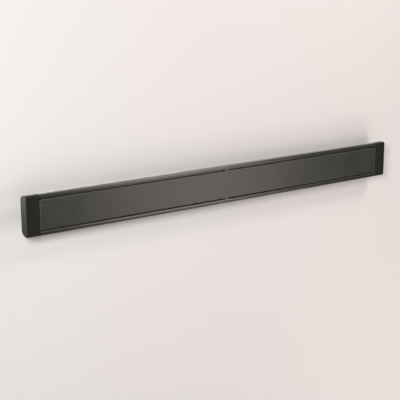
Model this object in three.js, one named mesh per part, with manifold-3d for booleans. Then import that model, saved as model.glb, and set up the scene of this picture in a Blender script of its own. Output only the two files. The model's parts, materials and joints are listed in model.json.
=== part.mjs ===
// A wall-hung infrared strip heater: a long extruded housing with a flat emitter panel in its front,
// an end cap at each end, and two tilting brackets behind it.
// Millimetres. X runs along the heater, Y points into the wall, whose face is y = 0, and Z is up.
// The origin is on the wall's face, level with the tilt pivots and midway between the brackets.
// A "depth" is measured from the heater's front face towards the wall.

import * as THREE from "three";
import { mergeVertices } from "three/addons/utils/BufferGeometryUtils.js";
import Module from "manifold-3d";

const wasm = await Module();
wasm.setup();

// ---------------------------------------------------------------- driving dimensions

// The whole heater
const heaterLength = 1750;
const heaterHeight = 150;
const heaterDepth = 46;
const wallGap = 40; // from the heater's flat back to the wall

// Clearances
const seat = 0.3; // between two pieces that rest on each other
const screwPlay = 0.3; // round a screw in its hole
const slip = 0.4; // round a piece that slides over another

// Joined and cut solids
const lap = 0.5; // how far joined solids run into each other
const past = 1; // how far a cutting solid runs past what it cuts

// Housing extrusion
const housingWall = 2;
const lipHeight = 14;
const lipReturn = 22; // how deep the lip's inner edge is folded back
const frontRoundDepth = 4;
const frontRoundHeight = 6;
const shoulderDepth = 27; // the rounded rear shoulders, measured along the depth and down
const shoulderDrop = 14;
const slotMouth = 9; // rear T-slot
const slotWidth = 17;
const slotHeight = 6;
const portDepth = 12; // where the end plates' screws enter
const portLap = 0.2; // a screw port's round wall into the walls beside it

// Emitter panel extrusion
const ventGap = 6; // between a lip and the panel
const panelRecess = 1;
const panelThickness = 3;
const panelEdgeRound = 1.6;
const panelEndGap = 0.8; // lets the hot panel grow
const ribThickness = 1.8;
const grooveHeight = 5;
const groovePlay = 0.25; // round the sheath in its groove
const grooveMargin = 2.75; // from a groove to the hook rail beside it
const grooveToShoe = 0.75;
const bendRelief = 2; // the ribs stop this far before the hairpins' bends
const reliefMargin = 0.2;
const portRibThickness = 2;
const portRibHeight = 6;
const hookInset = 4; // from the panel's edge to the hook rail's stem
const hookStem = 2;
const hookLip = 3.5;
const hookGroove = 2.5;
const railStem = 3; // middle rail
const railStemHeight = 7;
const railHead = 10;
const railHeadHeight = 2.5;

// Heating elements
const sheathRadius = 4.2;
const pinRadius = 1.2;
const pinLength = 10;
const sealLength = 8.5;
const sealRadius = 4.6;
const sealStraight = 5.1; // the length before its cone
const sealTipRadius = 3;
const sheathSeat = 0.2; // from the sheath to the panel's back and to its clamps
const bendLap = 0.2; // a hairpin's legs into its bend
const sheathBeyondPlate = 4;
const elementBendFromEnd = 32; // from the housing's end to the bend's centre

// Element clamps
const clampWidth = 16;
const clampThickness = 1.6;
const clampReach = 6; // past the outer leg's axis
const clampRailGap = 0.5; // over the panel's middle rail
const clampStepMargin = 1.5; // beside the rail's head
const clampStepRun = 2;
const clampStations = [-540, 0, 540];
const clampSideNames = ["left", "middle", "right"];

// Reflector and insulation
const reflectorDepth = 19.6;
const reflectorThickness = 0.8;
const reflectorFlange = 9;
const innerPackMargin = 4; // from the lip's return to the reflector and insulation
const innerPackToShoe = 2;

// Centre clips
const clipWidth = 18;
const clipFrontDepth = 1.4;
const clipBridge = 4.7;
const clipLeg = 1.8;
const clipTongue = 1.7;
const clipHook = 3.3;
const clipTongueGap = 0.8; // from its tongue to the panel's hook rail

// End plates
const plateThickness = 2;
const plateInset = 3.4;
const shoeLength = 20;
const shoeWidth = 16;
const shoeFront = 5;
const shoeBack = 17.5;
const tabLength = 15;
const tabWidth = 12;
const tabThickness = 2;
const capScrewFromPlate = 8.25;

// End caps and their gaskets
const capLength = 52;
const capWall = 3;
const capScrewHeight = 50;
const gasketSpace = 1;
const gasketThickness = 0.7;
const gasketOuterInset = 0.4;
const gasketInnerInset = 2.6;

// Wiring chamber in the right cap
const blockSize = { along: 16, deep: 16, high: 38 };
const blockHeight = -28;
const blockBehind = 2; // from the block to the cap's screw tab
const poleSpacing = 11;
const poleBore = 1.8;
const wellRadius = 2.4;
const blockScrewBeyond = 2; // past the end plate
const cutoutRadius = 8.5;
const cutoutThickness = 7;
const cutoutHeight = 30;
const cutoutDepth = 27;
const cutoutFlange = { half: 4, reach: 4, thickness: 1 };
const bladeLength = 9;
const bladeSpacing = 8;
const bladeWidth = 5;
const bladeThickness = 1;
const leadRadius = 1.3;
const leadInsert = 3; // how far a lead enters its pole
const earthHeight = -60;
const earthBehindBlockFront = 3.4;
const ringRadius = 4.6;
const ringThickness = 1.6;
const ringTail = 0.8; // how far the earth lead reaches into its ring

// Cable gland
const glandFromJoin = 30; // from the cap's rim to the gland's axis
const glandThread = 8;
const glandNeck = 7.5;
const glandCollar = 11;
const glandBore = 4.8;
const glandSealBore = 3.6;
const glandPlay = 0.6; // round the thread in the cap's wall and in the lock nut
const glandTail = 7; // thread inside the cap's wall
const glandCollarHeight = 4.7;
const glandNeckHeight = 6;
const glandNutHeight = 12.7;
const glandNutInset = 0.5; // the nut is slimmer than the collar
const glandCrown = 3; // the nut's closed end, over the seal
const glandCrownChamfer = { along: 4, across: 2.5 };
const glandMouth = 4.2;
const lockNutHeight = 4;

// Tilting brackets
const bracketSpacing = 900;
const earThickness = 3;
const earRound = 9;
const wallPlateHeight = 90;
const wallPlateThickness = 3;
const wallEarHeight = 36;
const fixingSlotWidth = 7;
const fixingSlotLength = 14;
const fixingSlotHeight = 32;
const clevisWidth = 27;
const clevisHeight = 50;
const clevisThickness = 3;
const clevisEarHeight = 30;
const slideNutLength = 24;
const slideNutThickness = 4.3;
const pivotBoltBeyond = 1; // past its nut

// Screws and bolts: shank radius, head radius and height, and the hexagon socket's radius
const m3 = { shank: 1.5, head: 2.8, headHeight: 1.8, socket: 1.2 };
const m4 = { shank: 2, head: 3.6, headHeight: 2.4, socket: 1.5 };
const m6 = { shank: 3, head: 5.25, headHeight: 3.3, socket: 2.3 };
const plateScrewLength = 12;
const capScrewLength = 7;
const clampScrewLength = 9;
const earthScrewLength = 7;
const clevisBoltLength = 10.8;
const hexNut = { acrossCorners: 11.5, height: 5 };

// ---------------------------------------------------------------- places worked out from them

const frontY = -(wallGap + heaterDepth);
const backY = -wallGap;
const yAt = (depth) => frontY + depth;

const joinX = heaterLength / 2 - capLength; // the cap's rim
const housingEnd = joinX - gasketSpace;
const plateInner = housingEnd + seat;
const plateOuter = plateInner + plateThickness;
const capInnerEnd = heaterLength / 2 - capWall;
const panelEnd = housingEnd - panelEndGap;

const openingHalf = heaterHeight / 2 - lipHeight; // to the lip's inner edge
const panelHalf = openingHalf - ventGap;
const panelFront = panelRecess;
const panelBack = panelRecess + panelThickness;
const portHeight = (openingHalf + heaterHeight / 2) / 2;
const slotBack = heaterDepth - housingWall;
const slotFront = slotBack - slotHeight;
const slotFloor = slotFront - housingWall;

const grooveHalf = sheathRadius + groovePlay;
const grooveOuter = grooveHalf + ribThickness;
const elementDepth = panelBack + sheathSeat + sheathRadius;
const legInner = shoeWidth / 2 + grooveToShoe + grooveOuter;
const hookStemInner = panelHalf - hookInset - hookStem;
const legOuter = hookStemInner - grooveMargin - grooveOuter;
const hairpinMiddle = (legInner + legOuter) / 2;
const bendRadius = (legOuter - legInner) / 2;
const bendX = -(housingEnd - elementBendFromEnd);
const sheathEnd = plateOuter + sheathBeyondPlate;
const sealStart = sheathEnd + seat;
const pinEnd = sealStart + sealLength + pinLength;

const clampDepth = elementDepth + sheathRadius + sheathSeat;
const innerPackHalf = openingHalf - innerPackMargin;
const innerPackEnd = housingEnd - shoeLength - innerPackToShoe;

const pivotY = -wallGap / 2;

// ---------------------------------------------------------------- solids

const arcSteps = 6;

/** A closed geometry as a solid that can be joined and cut. */
function toSolid(geometry) {
  const bare = geometry.clone();
  bare.deleteAttribute("normal");
  bare.deleteAttribute("uv");
  const merged = mergeVertices(bare);
  const corners = merged.index.array;
  const triangles = [];
  for (let i = 0; i < corners.length; i += 3) {
    const [a, b, c] = corners.slice(i, i + 3);
    if (a !== b && b !== c && c !== a) triangles.push(a, b, c);
  }
  const mesh = new wasm.Mesh({
    numProp: 3,
    vertProperties: new Float32Array(merged.attributes.position.array),
    triVerts: new Uint32Array(triangles),
  });
  return new wasm.Manifold(mesh);
}

/** A solid as a geometry that a mesh can show. */
function toGeometry(solid) {
  const { vertProperties, triVerts } = solid.getMesh();
  const geometry = new THREE.BufferGeometry();
  geometry.setAttribute("position", new THREE.BufferAttribute(new Float32Array(vertProperties), 3));
  geometry.setIndex(new THREE.BufferAttribute(new Uint32Array(triVerts), 1));
  geometry.computeVertexNormals();
  return geometry;
}

const fuse = (...solids) => solids.reduce((whole, next) => whole.add(next));
const carve = (solid, ...tools) => tools.reduce((rest, tool) => rest.subtract(tool), solid);

/** A box between two values on each axis. */
function box([x0, x1], [y0, y1], [z0, z1]) {
  const geometry = new THREE.BoxGeometry(Math.abs(x1 - x0), Math.abs(y1 - y0), Math.abs(z1 - z0));
  return toSolid(geometry.translate((x0 + x1) / 2, (y0 + y1) / 2, (z0 + z1) / 2));
}

/** A shape drawn in Y and Z, extruded along X between two places. */
function prism(shape, x0, x1) {
  const options = { depth: Math.abs(x1 - x0), bevelEnabled: false, curveSegments: arcSteps };
  const turn = new THREE.Matrix4().makeBasis(
    new THREE.Vector3(0, 1, 0),
    new THREE.Vector3(0, 0, 1),
    new THREE.Vector3(1, 0, 0),
  );
  const geometry = new THREE.ExtrudeGeometry(shape, options).applyMatrix4(turn);
  return toSolid(geometry.translate(Math.min(x0, x1), 0, 0));
}

/** A closed outline of [y, z] points. */
function outlineOf(points) {
  return new THREE.Shape(points.map(([y, z]) => new THREE.Vector2(y, z)));
}

/** A rectangle in depth and height, as a [depth, z] bar that runs along X. */
function bar([d0, d1], [z0, z1], x0, x1) {
  return box([x0, x1], [yAt(d0), yAt(d1)], [z0, z1]);
}

/** A round bar along X or Y. */
function rod(axis, radius, from, to, [u, v]) {
  const geometry = new THREE.CylinderGeometry(radius, radius, Math.abs(to - from), 2 * arcSteps);
  const middle = (from + to) / 2;
  if (axis === "x") return toSolid(geometry.rotateZ(Math.PI / 2).translate(middle, u, v));
  return toSolid(geometry.translate(u, middle, v));
}

/** A solid turned about Y from [radius, y] points that run anticlockwise. */
function turned(points, segments = 2 * arcSteps) {
  const profile = points.map(([radius, y]) => new THREE.Vector2(radius, y));
  return toSolid(new THREE.LatheGeometry(profile, segments));
}

/** A round bar along a curve. */
function along(curve, radius, steps, sides) {
  const section = new THREE.Shape().absarc(0, 0, radius, 0, 2 * Math.PI, false);
  const options = { steps, extrudePath: curve, curveSegments: sides / 2 };
  return toSolid(new THREE.ExtrudeGeometry(section, options));
}

/** A screw along Y: the underside of its head is at 0 and its shank points down Y. */
function screw({ shank, head, headHeight, socket }, length) {
  const crownStart = headHeight * 0.6;
  const crownRadius = head * 0.8;
  const socketMiddle = headHeight * 0.9;
  const body = turned([
    [0, -length],
    [shank, -length],
    [shank, 0],
    [head, 0],
    [head, crownStart],
    [crownRadius, headHeight],
    [0, headHeight],
  ]);
  const key = new THREE.CylinderGeometry(socket, socket, headHeight, 6);
  return carve(body, toSolid(key.translate(0, socketMiddle, 0)));
}

// ---------------------------------------------------------------- finishes and meshes

const finishes = {
  coat: { color: 0x3a3b37, roughness: 0.45, metalness: 0.35 },
  panel: { color: 0x55544f, roughness: 0.5, metalness: 0.5 },
  cap: { color: 0x2b2c28, roughness: 0.6, metalness: 0.1 },
  sheath: { color: 0x8a8680, roughness: 0.4, metalness: 1 },
  zinc: { color: 0xb8bbbd, roughness: 0.35, metalness: 1 },
  blackSteel: { color: 0x2a2b2a, roughness: 0.45, metalness: 0.6 },
  aluminium: { color: 0xd2d4d6, roughness: 0.25, metalness: 1 },
  cast: { color: 0xa0a3a5, roughness: 0.55, metalness: 1 },
  fibre: { color: 0xe9e6de, roughness: 1, metalness: 0 },
  ceramic: { color: 0xe6dfd0, roughness: 0.5, metalness: 0 },
  rubber: { color: 0x1c1c1c, roughness: 0.9, metalness: 0 },
  nylon: { color: 0x1f2021, roughness: 0.6, metalness: 0 },
  phenolic: { color: 0x2e2622, roughness: 0.5, metalness: 0 },
  leadBrown: { color: 0x6b4226, roughness: 0.6, metalness: 0 },
  leadBlue: { color: 0x2b5c93, roughness: 0.6, metalness: 0 },
  leadWhite: { color: 0xdcdad2, roughness: 0.6, metalness: 0 },
  leadGreen: { color: 0x3f7d3a, roughness: 0.6, metalness: 0 },
};

/** One named sub-part. */
function piece(name, solid, finish, position = [0, 0, 0], turnZ = 0) {
  const mesh = new THREE.Mesh(toGeometry(solid), new THREE.MeshStandardMaterial(finishes[finish]));
  mesh.name = name;
  mesh.position.set(...position);
  mesh.rotation.z = turnZ;
  return mesh;
}

const sides = [
  { name: "left", sign: -1 },
  { name: "right", sign: 1 },
];
const rows = [
  { name: "upper", sign: 1 },
  { name: "lower", sign: -1 },
];

/** The turn about Z that points a screw's head along X, away from the heater's middle. */
const headOutward = (sign) => -sign * Math.PI / 2;

// ---------------------------------------------------------------- the heater's outline

/** The heater's outer outline in Y and Z, moved inwards by inset. */
function bodyOutline(inset) {
  const smallestRound = 0.6;
  const half = heaterHeight / 2 - inset;
  const roundDepth = Math.max(frontRoundDepth - inset, smallestRound);
  const roundHeight = Math.max(frontRoundHeight - inset, smallestRound);
  const fullRadius = (shoulderDepth ** 2 + shoulderDrop ** 2) / (2 * shoulderDrop);
  const radius = fullRadius - inset;
  const centreY = backY - shoulderDepth;
  const centreZ = heaterHeight / 2 - fullRadius;
  const endAngle = Math.acos((shoulderDepth - inset) / radius);
  const roundY = frontY + inset + roundDepth;
  const quarter = Math.PI / 2;
  const shape = new THREE.Shape();
  shape.moveTo(roundY, -half);
  shape.absarc(centreY, -centreZ, radius, -quarter, -endAngle, false);
  shape.absarc(centreY, centreZ, radius, endAngle, quarter, false);
  shape.absellipse(roundY, half - roundHeight, roundDepth, roundHeight, quarter, 2 * quarter, false, 0);
  shape.absellipse(roundY, roundHeight - half, roundDepth, roundHeight, -2 * quarter, -quarter, false, 0);
  return shape;
}

/** A slice of the heater's outline between two places along X. */
const slice = (inset, x0, x1) => prism(bodyOutline(inset), x0, x1);

// ---------------------------------------------------------------- housing and panel

function housingProfile() {
  const end = housingEnd;
  const over = end + past;
  const lipInner = [openingHalf, openingHalf + housingWall];
  const cavity = slice(housingWall, -over, over);
  const opening = bar([-past, housingWall + past], [-openingHalf, openingHalf], -over, over);
  const shell = carve(slice(0, -end, end), cavity, opening);
  const portBoss = portHeight - openingHalf - housingWall + portLap;
  const webs = rows.flatMap(({ sign }) => [
    bar([0, lipReturn], lipInner.map((z) => sign * z), -end, end),
    rod("x", portBoss, -end, end, [yAt(portDepth), sign * portHeight]),
  ]);
  const channelHalf = slotWidth / 2 + housingWall;
  const channel = bar([slotFloor, heaterDepth], [-channelHalf, channelHalf], -end, end);
  const ports = rows.map(({ sign }) =>
    rod("x", m4.shank + screwPlay, -over, over, [yAt(portDepth), sign * portHeight]),
  );
  const slot = bar([slotFront, slotBack], [-slotWidth / 2, slotWidth / 2], -over, over);
  const mouth = bar([slotFront, heaterDepth + past], [-slotMouth / 2, slotMouth / 2], -over, over);
  return carve(fuse(shell, ...webs, channel), ...ports, slot, mouth);
}

/** The panel's front plate, with its long edges rounded at the front. */
function panelPlate() {
  const r = panelEdgeRound;
  const front = yAt(panelFront);
  const shape = new THREE.Shape();
  shape.moveTo(yAt(panelBack), -panelHalf);
  shape.lineTo(yAt(panelBack), panelHalf);
  shape.absarc(front + r, panelHalf - r, r, Math.PI / 2, Math.PI, false);
  shape.absarc(front + r, r - panelHalf, r, Math.PI, 1.5 * Math.PI, false);
  return prism(shape, -panelEnd, panelEnd);
}

function emitterPanel() {
  const rib = (depths, heights) => bar(depths, heights, -panelEnd, panelEnd);
  const root = panelBack - lap;
  const headFront = panelBack + railStemHeight;
  const ribs = [
    rib([root, headFront + lap], [-railStem / 2, railStem / 2]),
    rib([headFront, headFront + railHeadHeight], [-railHead / 2, railHead / 2]),
  ];
  for (const { sign } of rows) {
    for (const leg of [legInner, legOuter]) {
      for (const side of [-1, 1]) {
        const near = leg + side * grooveHalf;
        const far = leg + side * grooveOuter;
        ribs.push(rib([root, panelBack + grooveHeight], [sign * near, sign * far]));
      }
    }
    for (const side of [-1, 1]) {
      const near = hairpinMiddle + side * (m4.shank + screwPlay);
      const far = near + side * portRibThickness;
      ribs.push(rib([root, panelBack + portRibHeight], [sign * near, sign * far]));
    }
    const stemOuter = hookStemInner + hookStem;
    const hookFront = panelBack + hookGroove;
    const hookBack = hookFront + hookStem;
    ribs.push(rib([root, hookBack], [sign * hookStemInner, sign * stemOuter]));
    ribs.push(rib([hookFront, hookBack], [sign * (stemOuter - lap), sign * (stemOuter + hookLip)]));
  }
  const reliefBack = panelBack + Math.max(grooveHeight, portRibHeight) + past;
  const reliefReach = grooveOuter + reliefMargin;
  const reliefs = rows.map(({ sign }) =>
    bar(
      [panelBack, reliefBack],
      [sign * (legInner - reliefReach), sign * (legOuter + reliefReach)],
      -(panelEnd + past),
      bendX + bendRelief,
    ),
  );
  return carve(fuse(panelPlate(), ...ribs), ...reliefs);
}

/** A clip that bridges the vent gap: it hooks behind the lip's return and its tongue holds the panel. */
function centreClip(sign) {
  const panelEdge = panelHalf + slip;
  const lipFace = openingHalf - seat;
  const front = clipFrontDepth;
  const back = front + clipBridge;
  const legBack = lipReturn + seat;
  const hookBack = legBack + clipLeg;
  const tongueEnd = hookStemInner + hookStem + clipTongueGap;
  const points = [
    [front, panelEdge],
    [front, lipFace],
    [legBack, lipFace],
    [legBack, lipFace + clipHook],
    [hookBack, lipFace + clipHook],
    [hookBack, lipFace - clipLeg],
    [back, lipFace - clipLeg],
    [back, tongueEnd],
    [back - clipTongue, tongueEnd],
    [back - clipTongue, panelEdge],
  ];
  const shape = outlineOf(points.map(([depth, z]) => [yAt(depth), sign * z]));
  return prism(shape, -clipWidth / 2, clipWidth / 2);
}

// ---------------------------------------------------------------- heating elements

/** The half circle that joins a hairpin's two legs, bulging towards -X. */
class HairpinBend extends THREE.Curve {
  constructor(middleZ) {
    super();
    this.middleZ = middleZ;
  }

  getPoint(t, target = new THREE.Vector3()) {
    const angle = Math.PI * (0.5 + t);
    const x = bendX + bendRadius * Math.cos(angle);
    return target.set(x, yAt(elementDepth), this.middleZ + bendRadius * Math.sin(angle));
  }
}

/** A hairpin element: the sheath with both legs, and a terminal pin at each leg's end. */
function heatingElement(sign) {
  const y = yAt(elementDepth);
  const bend = along(new HairpinBend(sign * hairpinMiddle), sheathRadius, 12, 12);
  const legs = [legInner, legOuter].flatMap((leg) => [
    rod("x", sheathRadius, bendX - bendLap, sheathEnd, [y, sign * leg]),
    rod("x", pinRadius, sheathEnd - lap, pinEnd, [y, sign * leg]),
  ]);
  return fuse(bend, ...legs);
}

function elementSeal() {
  const bore = pinRadius + screwPlay;
  return turned([
    [bore, 0],
    [sealRadius, 0],
    [sealRadius, sealStraight],
    [sealTipRadius, sealLength],
    [bore, sealLength],
    [bore, 0],
  ]);
}

/** A strip across both hairpins that steps over the panel's middle rail. */
function elementClamp() {
  const reach = legOuter + clampReach;
  const railBack = panelBack + railStemHeight + railHeadHeight;
  const raised = Math.max(railBack + clampRailGap, clampDepth);
  const top = railHead / 2 + clampStepMargin;
  const foot = top + clampStepRun;
  const front = [
    [clampDepth, -reach],
    [clampDepth, -foot],
    [raised, -top],
    [raised, top],
    [clampDepth, foot],
    [clampDepth, reach],
  ];
  const back = front.map(([depth, z]) => [depth + clampThickness, z]).reverse();
  const shape = outlineOf([...front, ...back].map(([depth, z]) => [yAt(depth), z]));
  const holes = rows.map(({ sign }) =>
    rod(
      "y",
      m4.shank + screwPlay,
      yAt(clampDepth - past),
      yAt(clampDepth + clampThickness + past),
      [0, sign * hairpinMiddle],
    ),
  );
  return carve(prism(shape, -clampWidth / 2, clampWidth / 2), ...holes);
}

// ---------------------------------------------------------------- reflector and insulation

function reflector() {
  const web = bar(
    [reflectorDepth, reflectorDepth + reflectorThickness],
    [-innerPackHalf, innerPackHalf],
    -innerPackEnd,
    innerPackEnd,
  );
  const flanges = rows.map(({ sign }) =>
    bar(
      [reflectorDepth - reflectorFlange, reflectorDepth + reflectorThickness],
      [sign * (innerPackHalf - reflectorThickness), sign * innerPackHalf],
      -innerPackEnd,
      innerPackEnd,
    ),
  );
  return fuse(web, ...flanges);
}

function insulation() {
  const front = reflectorDepth + reflectorThickness + seat;
  const heights = [-innerPackHalf, innerPackHalf];
  return bar([front, slotFloor - seat], heights, -innerPackEnd, innerPackEnd);
}

// ---------------------------------------------------------------- end plates, caps and gaskets

const capScrewX = plateOuter + capScrewFromPlate;

/** A plate on the housing's end, with a shoe for the panel's rail and two tabs for the cap's screws. */
function endPlate(sign) {
  const plate = slice(plateInset, sign * plateInner, sign * plateOuter);
  const shoeEnds = [sign * (plateInner - shoeLength), sign * (plateInner + lap)];
  const shoe = bar([shoeFront, shoeBack], [-shoeWidth / 2, shoeWidth / 2], ...shoeEnds);
  const slotEnds = [sign * (plateInner - shoeLength - past), sign * plateInner];
  const stemHalf = railStem / 2 + slip;
  const headHalf = railHead / 2 + slip;
  const headFront = panelBack + railStemHeight;
  const railSlots = [
    bar([0, headFront], [-stemHalf, stemHalf], ...slotEnds),
    bar([headFront - slip, headFront + railHeadHeight + slip], [-headHalf, headHalf], ...slotEnds),
  ];
  const tabBack = heaterDepth - plateInset;
  const tabs = rows.map(({ sign: row }) =>
    bar(
      [tabBack - tabThickness, tabBack],
      [row * capScrewHeight - tabWidth / 2, row * capScrewHeight + tabWidth / 2],
      sign * (plateInner + lap),
      sign * (plateOuter + tabLength),
    ),
  );
  const screwHole = m4.shank + screwPlay;
  const holes = rows.flatMap(({ sign: row }) => [
    rod("x", screwHole, sign * (plateInner - past), sign * (plateOuter + past), [
      yAt(portDepth),
      row * portHeight,
    ]),
    rod("y", screwHole, yAt(tabBack - tabThickness - past), yAt(tabBack + past), [
      sign * capScrewX,
      row * capScrewHeight,
    ]),
  ]);
  return carve(fuse(plate, shoe, ...tabs), ...railSlots, ...holes);
}

/** The right plate also lets the elements' legs, the earth screw and the block's screw through. */
function wiringEndPlate() {
  const through = (radius, depth, z) =>
    rod("x", radius, plateInner - past, plateOuter + past, [yAt(depth), z]);
  const legHoles = [legInner, legOuter].flatMap((leg) => [
    through(sheathRadius + slip, elementDepth, leg),
    through(sheathRadius + slip, elementDepth, -leg),
  ]);
  return carve(
    endPlate(1),
    ...legHoles,
    through(m4.shank + screwPlay, earthDepth, earthHeight),
    through(m3.shank + screwPlay, blockScrewDepth, blockScrewHeight),
  );
}

const glandX = joinX + glandFromJoin;

function endCap(sign) {
  const shell = carve(
    slice(0, sign * joinX, (sign * heaterLength) / 2),
    slice(capWall, sign * (joinX - past), sign * capInnerEnd),
  );
  const through = (radius, x, z) => rod("y", radius, backY - capWall - past, backY + past, [x, z]);
  const holes = rows.map((row) =>
    through(m4.shank + screwPlay, sign * capScrewX, row.sign * capScrewHeight),
  );
  if (sign > 0) holes.push(through(glandThread + glandPlay, glandX, 0));
  return carve(shell, ...holes);
}

function capGasket(sign) {
  const slack = (gasketSpace - gasketThickness) / 2;
  const near = sign * (housingEnd + slack);
  const far = sign * (joinX - slack);
  return carve(
    slice(gasketOuterInset, near, far),
    slice(gasketInnerInset, sign * (housingEnd - past), sign * (joinX + past)),
  );
}

// ---------------------------------------------------------------- wiring chamber

const tabFront = heaterDepth - plateInset - tabThickness;
const blockBack = tabFront - blockBehind;
const blockFront = blockBack - blockSize.deep;
const blockStart = plateOuter + seat;
const blockEnd = blockStart + blockSize.along;
const poleX = (blockStart + blockEnd) / 2;
const poles = [-1, 0, 1].map((step) => blockHeight + step * poleSpacing);
const [earthPole, neutralPole, livePole] = poles;
const blockScrewDepth = (blockFront + blockBack) / 2;
const blockScrewHeight = (neutralPole + livePole) / 2;
const bladeEnd = plateOuter + seat + cutoutThickness + bladeLength;
const earthDepth = blockFront + earthBehindBlockFront;

/** A ceramic block with a wire bore through each pole and a well for its clamping screw. */
function terminalBlock() {
  const half = blockSize.high / 2;
  const body = bar(
    [blockFront, blockBack],
    [blockHeight - half, blockHeight + half],
    blockStart,
    blockEnd,
  );
  const bores = poles.map((z) =>
    rod("y", poleBore, yAt(blockFront - past), yAt(blockBack + past), [poleX, z]),
  );
  const wells = poles.map((z) =>
    rod("x", wellRadius, poleX + poleBore - lap, blockEnd + past, [yAt(blockScrewDepth), z]),
  );
  const fixing = rod("x", m3.shank + screwPlay, blockStart - past, blockEnd + past, [
    yAt(blockScrewDepth),
    blockScrewHeight,
  ]);
  return carve(body, ...bores, ...wells, fixing);
}

/** A round bimetal cut-out with its flange on the plate and two flat blades. */
function thermalCutout() {
  const start = plateOuter + seat;
  const centre = [yAt(cutoutDepth), cutoutHeight];
  const can = rod("x", cutoutRadius, start, start + cutoutThickness, centre);
  const flangeReach = cutoutRadius + cutoutFlange.reach;
  const flange = bar(
    [cutoutDepth - cutoutFlange.half, cutoutDepth + cutoutFlange.half],
    [cutoutHeight - flangeReach, cutoutHeight + flangeReach],
    start,
    start + cutoutFlange.thickness,
  );
  const blades = rows.map(({ sign }) => {
    const z = cutoutHeight + (sign * bladeSpacing) / 2;
    const depths = [cutoutDepth - bladeWidth / 2, cutoutDepth + bladeWidth / 2];
    return bar(depths, [z - bladeThickness / 2, z + bladeThickness / 2], start, bladeEnd);
  });
  return fuse(can, flange, ...blades);
}

/** A lead through [x, depth, z] points. */
function lead(points, steps = 20) {
  const path = points.map(([x, depth, z]) => new THREE.Vector3(x, yAt(depth), z));
  return along(new THREE.CatmullRomCurve3(path), leadRadius, steps, 8);
}

/** The points of a lead's last stretch, straight into one pole of the terminal block. */
const intoPole = (z) => [
  [poleX, blockFront - 1.5, z],
  [poleX, blockFront + leadInsert, z],
];

const leadFromPin = pinEnd + seat;
const leadFromBlade = bladeEnd + seat;
const upperBlade = cutoutHeight + bladeSpacing / 2;
const lowerBlade = cutoutHeight - bladeSpacing / 2;

/** From the upper hairpin's inner leg round to the lower hairpin's. */
function linkLead() {
  const out = leadFromPin;
  const bow = legInner * 0.55;
  return lead([
    [out, elementDepth, legInner],
    [out + 6, elementDepth, legInner],
    [out + 13, elementDepth, bow],
    [out + 15, elementDepth, 0],
    [out + 13, elementDepth, -bow],
    [out + 6, elementDepth, -legInner],
    [out, elementDepth, -legInner],
  ]);
}

/** From the lower hairpin's outer leg to the neutral pole. */
function neutralLead() {
  const out = leadFromPin;
  const between = (neutralPole - legOuter) / 2;
  return lead([
    [out, elementDepth, -legOuter],
    [out + 6, elementDepth, -legOuter],
    [out + 9.5, elementDepth + 4, between - 3],
    [out + 3, blockFront - 6, between],
    [poleX + 6, blockFront - 5.5, neutralPole - 0.5],
    [poleX + 1, blockFront - 4, neutralPole],
    ...intoPole(neutralPole),
  ]);
}

/** From the upper hairpin's outer leg to the cut-out. */
function switchedLead() {
  const out = leadFromPin;
  const tip = leadFromBlade;
  return lead([
    [out, elementDepth, legOuter],
    [out + 6, elementDepth, legOuter],
    [out + 11, elementDepth + 5, legOuter - 0.5],
    [out + 11, cutoutDepth - 6, upperBlade + 2],
    [tip + 11, cutoutDepth - 0.5, upperBlade + 0.3],
    [tip + 5, cutoutDepth, upperBlade],
    [tip, cutoutDepth, upperBlade],
  ]);
}

/** From the cut-out past the gland to the live pole. */
function liveLead() {
  const tip = leadFromBlade;
  return lead([
    [tip, cutoutDepth, lowerBlade],
    [tip + 6, cutoutDepth, lowerBlade],
    [tip + 14, cutoutDepth - 1.5, lowerBlade - 5],
    [tip + 19, cutoutDepth - 5, lowerBlade / 3],
    [tip + 16, blockFront - 4, livePole / 3],
    [poleX + 14, blockFront - 5.5, livePole + 3],
    [poleX + 3, blockFront - 5, livePole],
    ...intoPole(livePole),
  ]);
}

/** From the earth pole to the earth screw, with its ring terminal. */
function earthLead() {
  const ringStart = plateOuter + seat;
  const ringX = ringStart + ringThickness;
  const tail = earthDepth - ringRadius + ringTail;
  const wire = lead([
    [poleX, blockFront + leadInsert, earthPole],
    [poleX, blockFront - 1.5, earthPole],
    [poleX + 1.5, blockFront - 5, earthPole - 3.5],
    [poleX + 1, blockFront - 6, (earthPole + earthHeight) / 2],
    [poleX - 2.5, blockFront - 6, earthHeight + 4],
    [ringX + 0.2, tail - 3, earthHeight],
    [ringX, tail, earthHeight],
  ]);
  const place = [yAt(earthDepth), earthHeight];
  const ring = carve(
    rod("x", ringRadius, ringStart, ringX, place),
    rod("x", m4.shank + screwPlay, ringStart - past, ringX + past, place),
  );
  return fuse(wire, ring);
}

// ---------------------------------------------------------------- cable gland

const wallInside = -capWall;
const threadEnd = seat;
const collarEnd = threadEnd + glandCollarHeight;
const neckEnd = collarEnd + glandNeckHeight;
const nutEnd = collarEnd + seat + glandNutHeight;
const sealEnd = nutEnd - glandCrown;
const glandSegments = 16;

/** The gland's body along Y, with 0 on the cap's outer back face. */
function glandBody() {
  const tailEnd = wallInside - glandTail;
  return turned(
    [
      [glandBore, tailEnd],
      [glandThread, tailEnd],
      [glandThread, threadEnd],
      [glandCollar, threadEnd],
      [glandCollar, collarEnd],
      [glandNeck, collarEnd],
      [glandNeck, neckEnd],
      [glandBore, neckEnd],
      [glandBore, tailEnd],
    ],
    glandSegments,
  );
}

function glandSeal() {
  return turned(
    [
      [glandSealBore, neckEnd + seat],
      [glandNeck, neckEnd + seat],
      [glandNeck, sealEnd],
      [glandSealBore, sealEnd],
      [glandSealBore, neckEnd + seat],
    ],
    glandSegments,
  );
}

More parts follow.
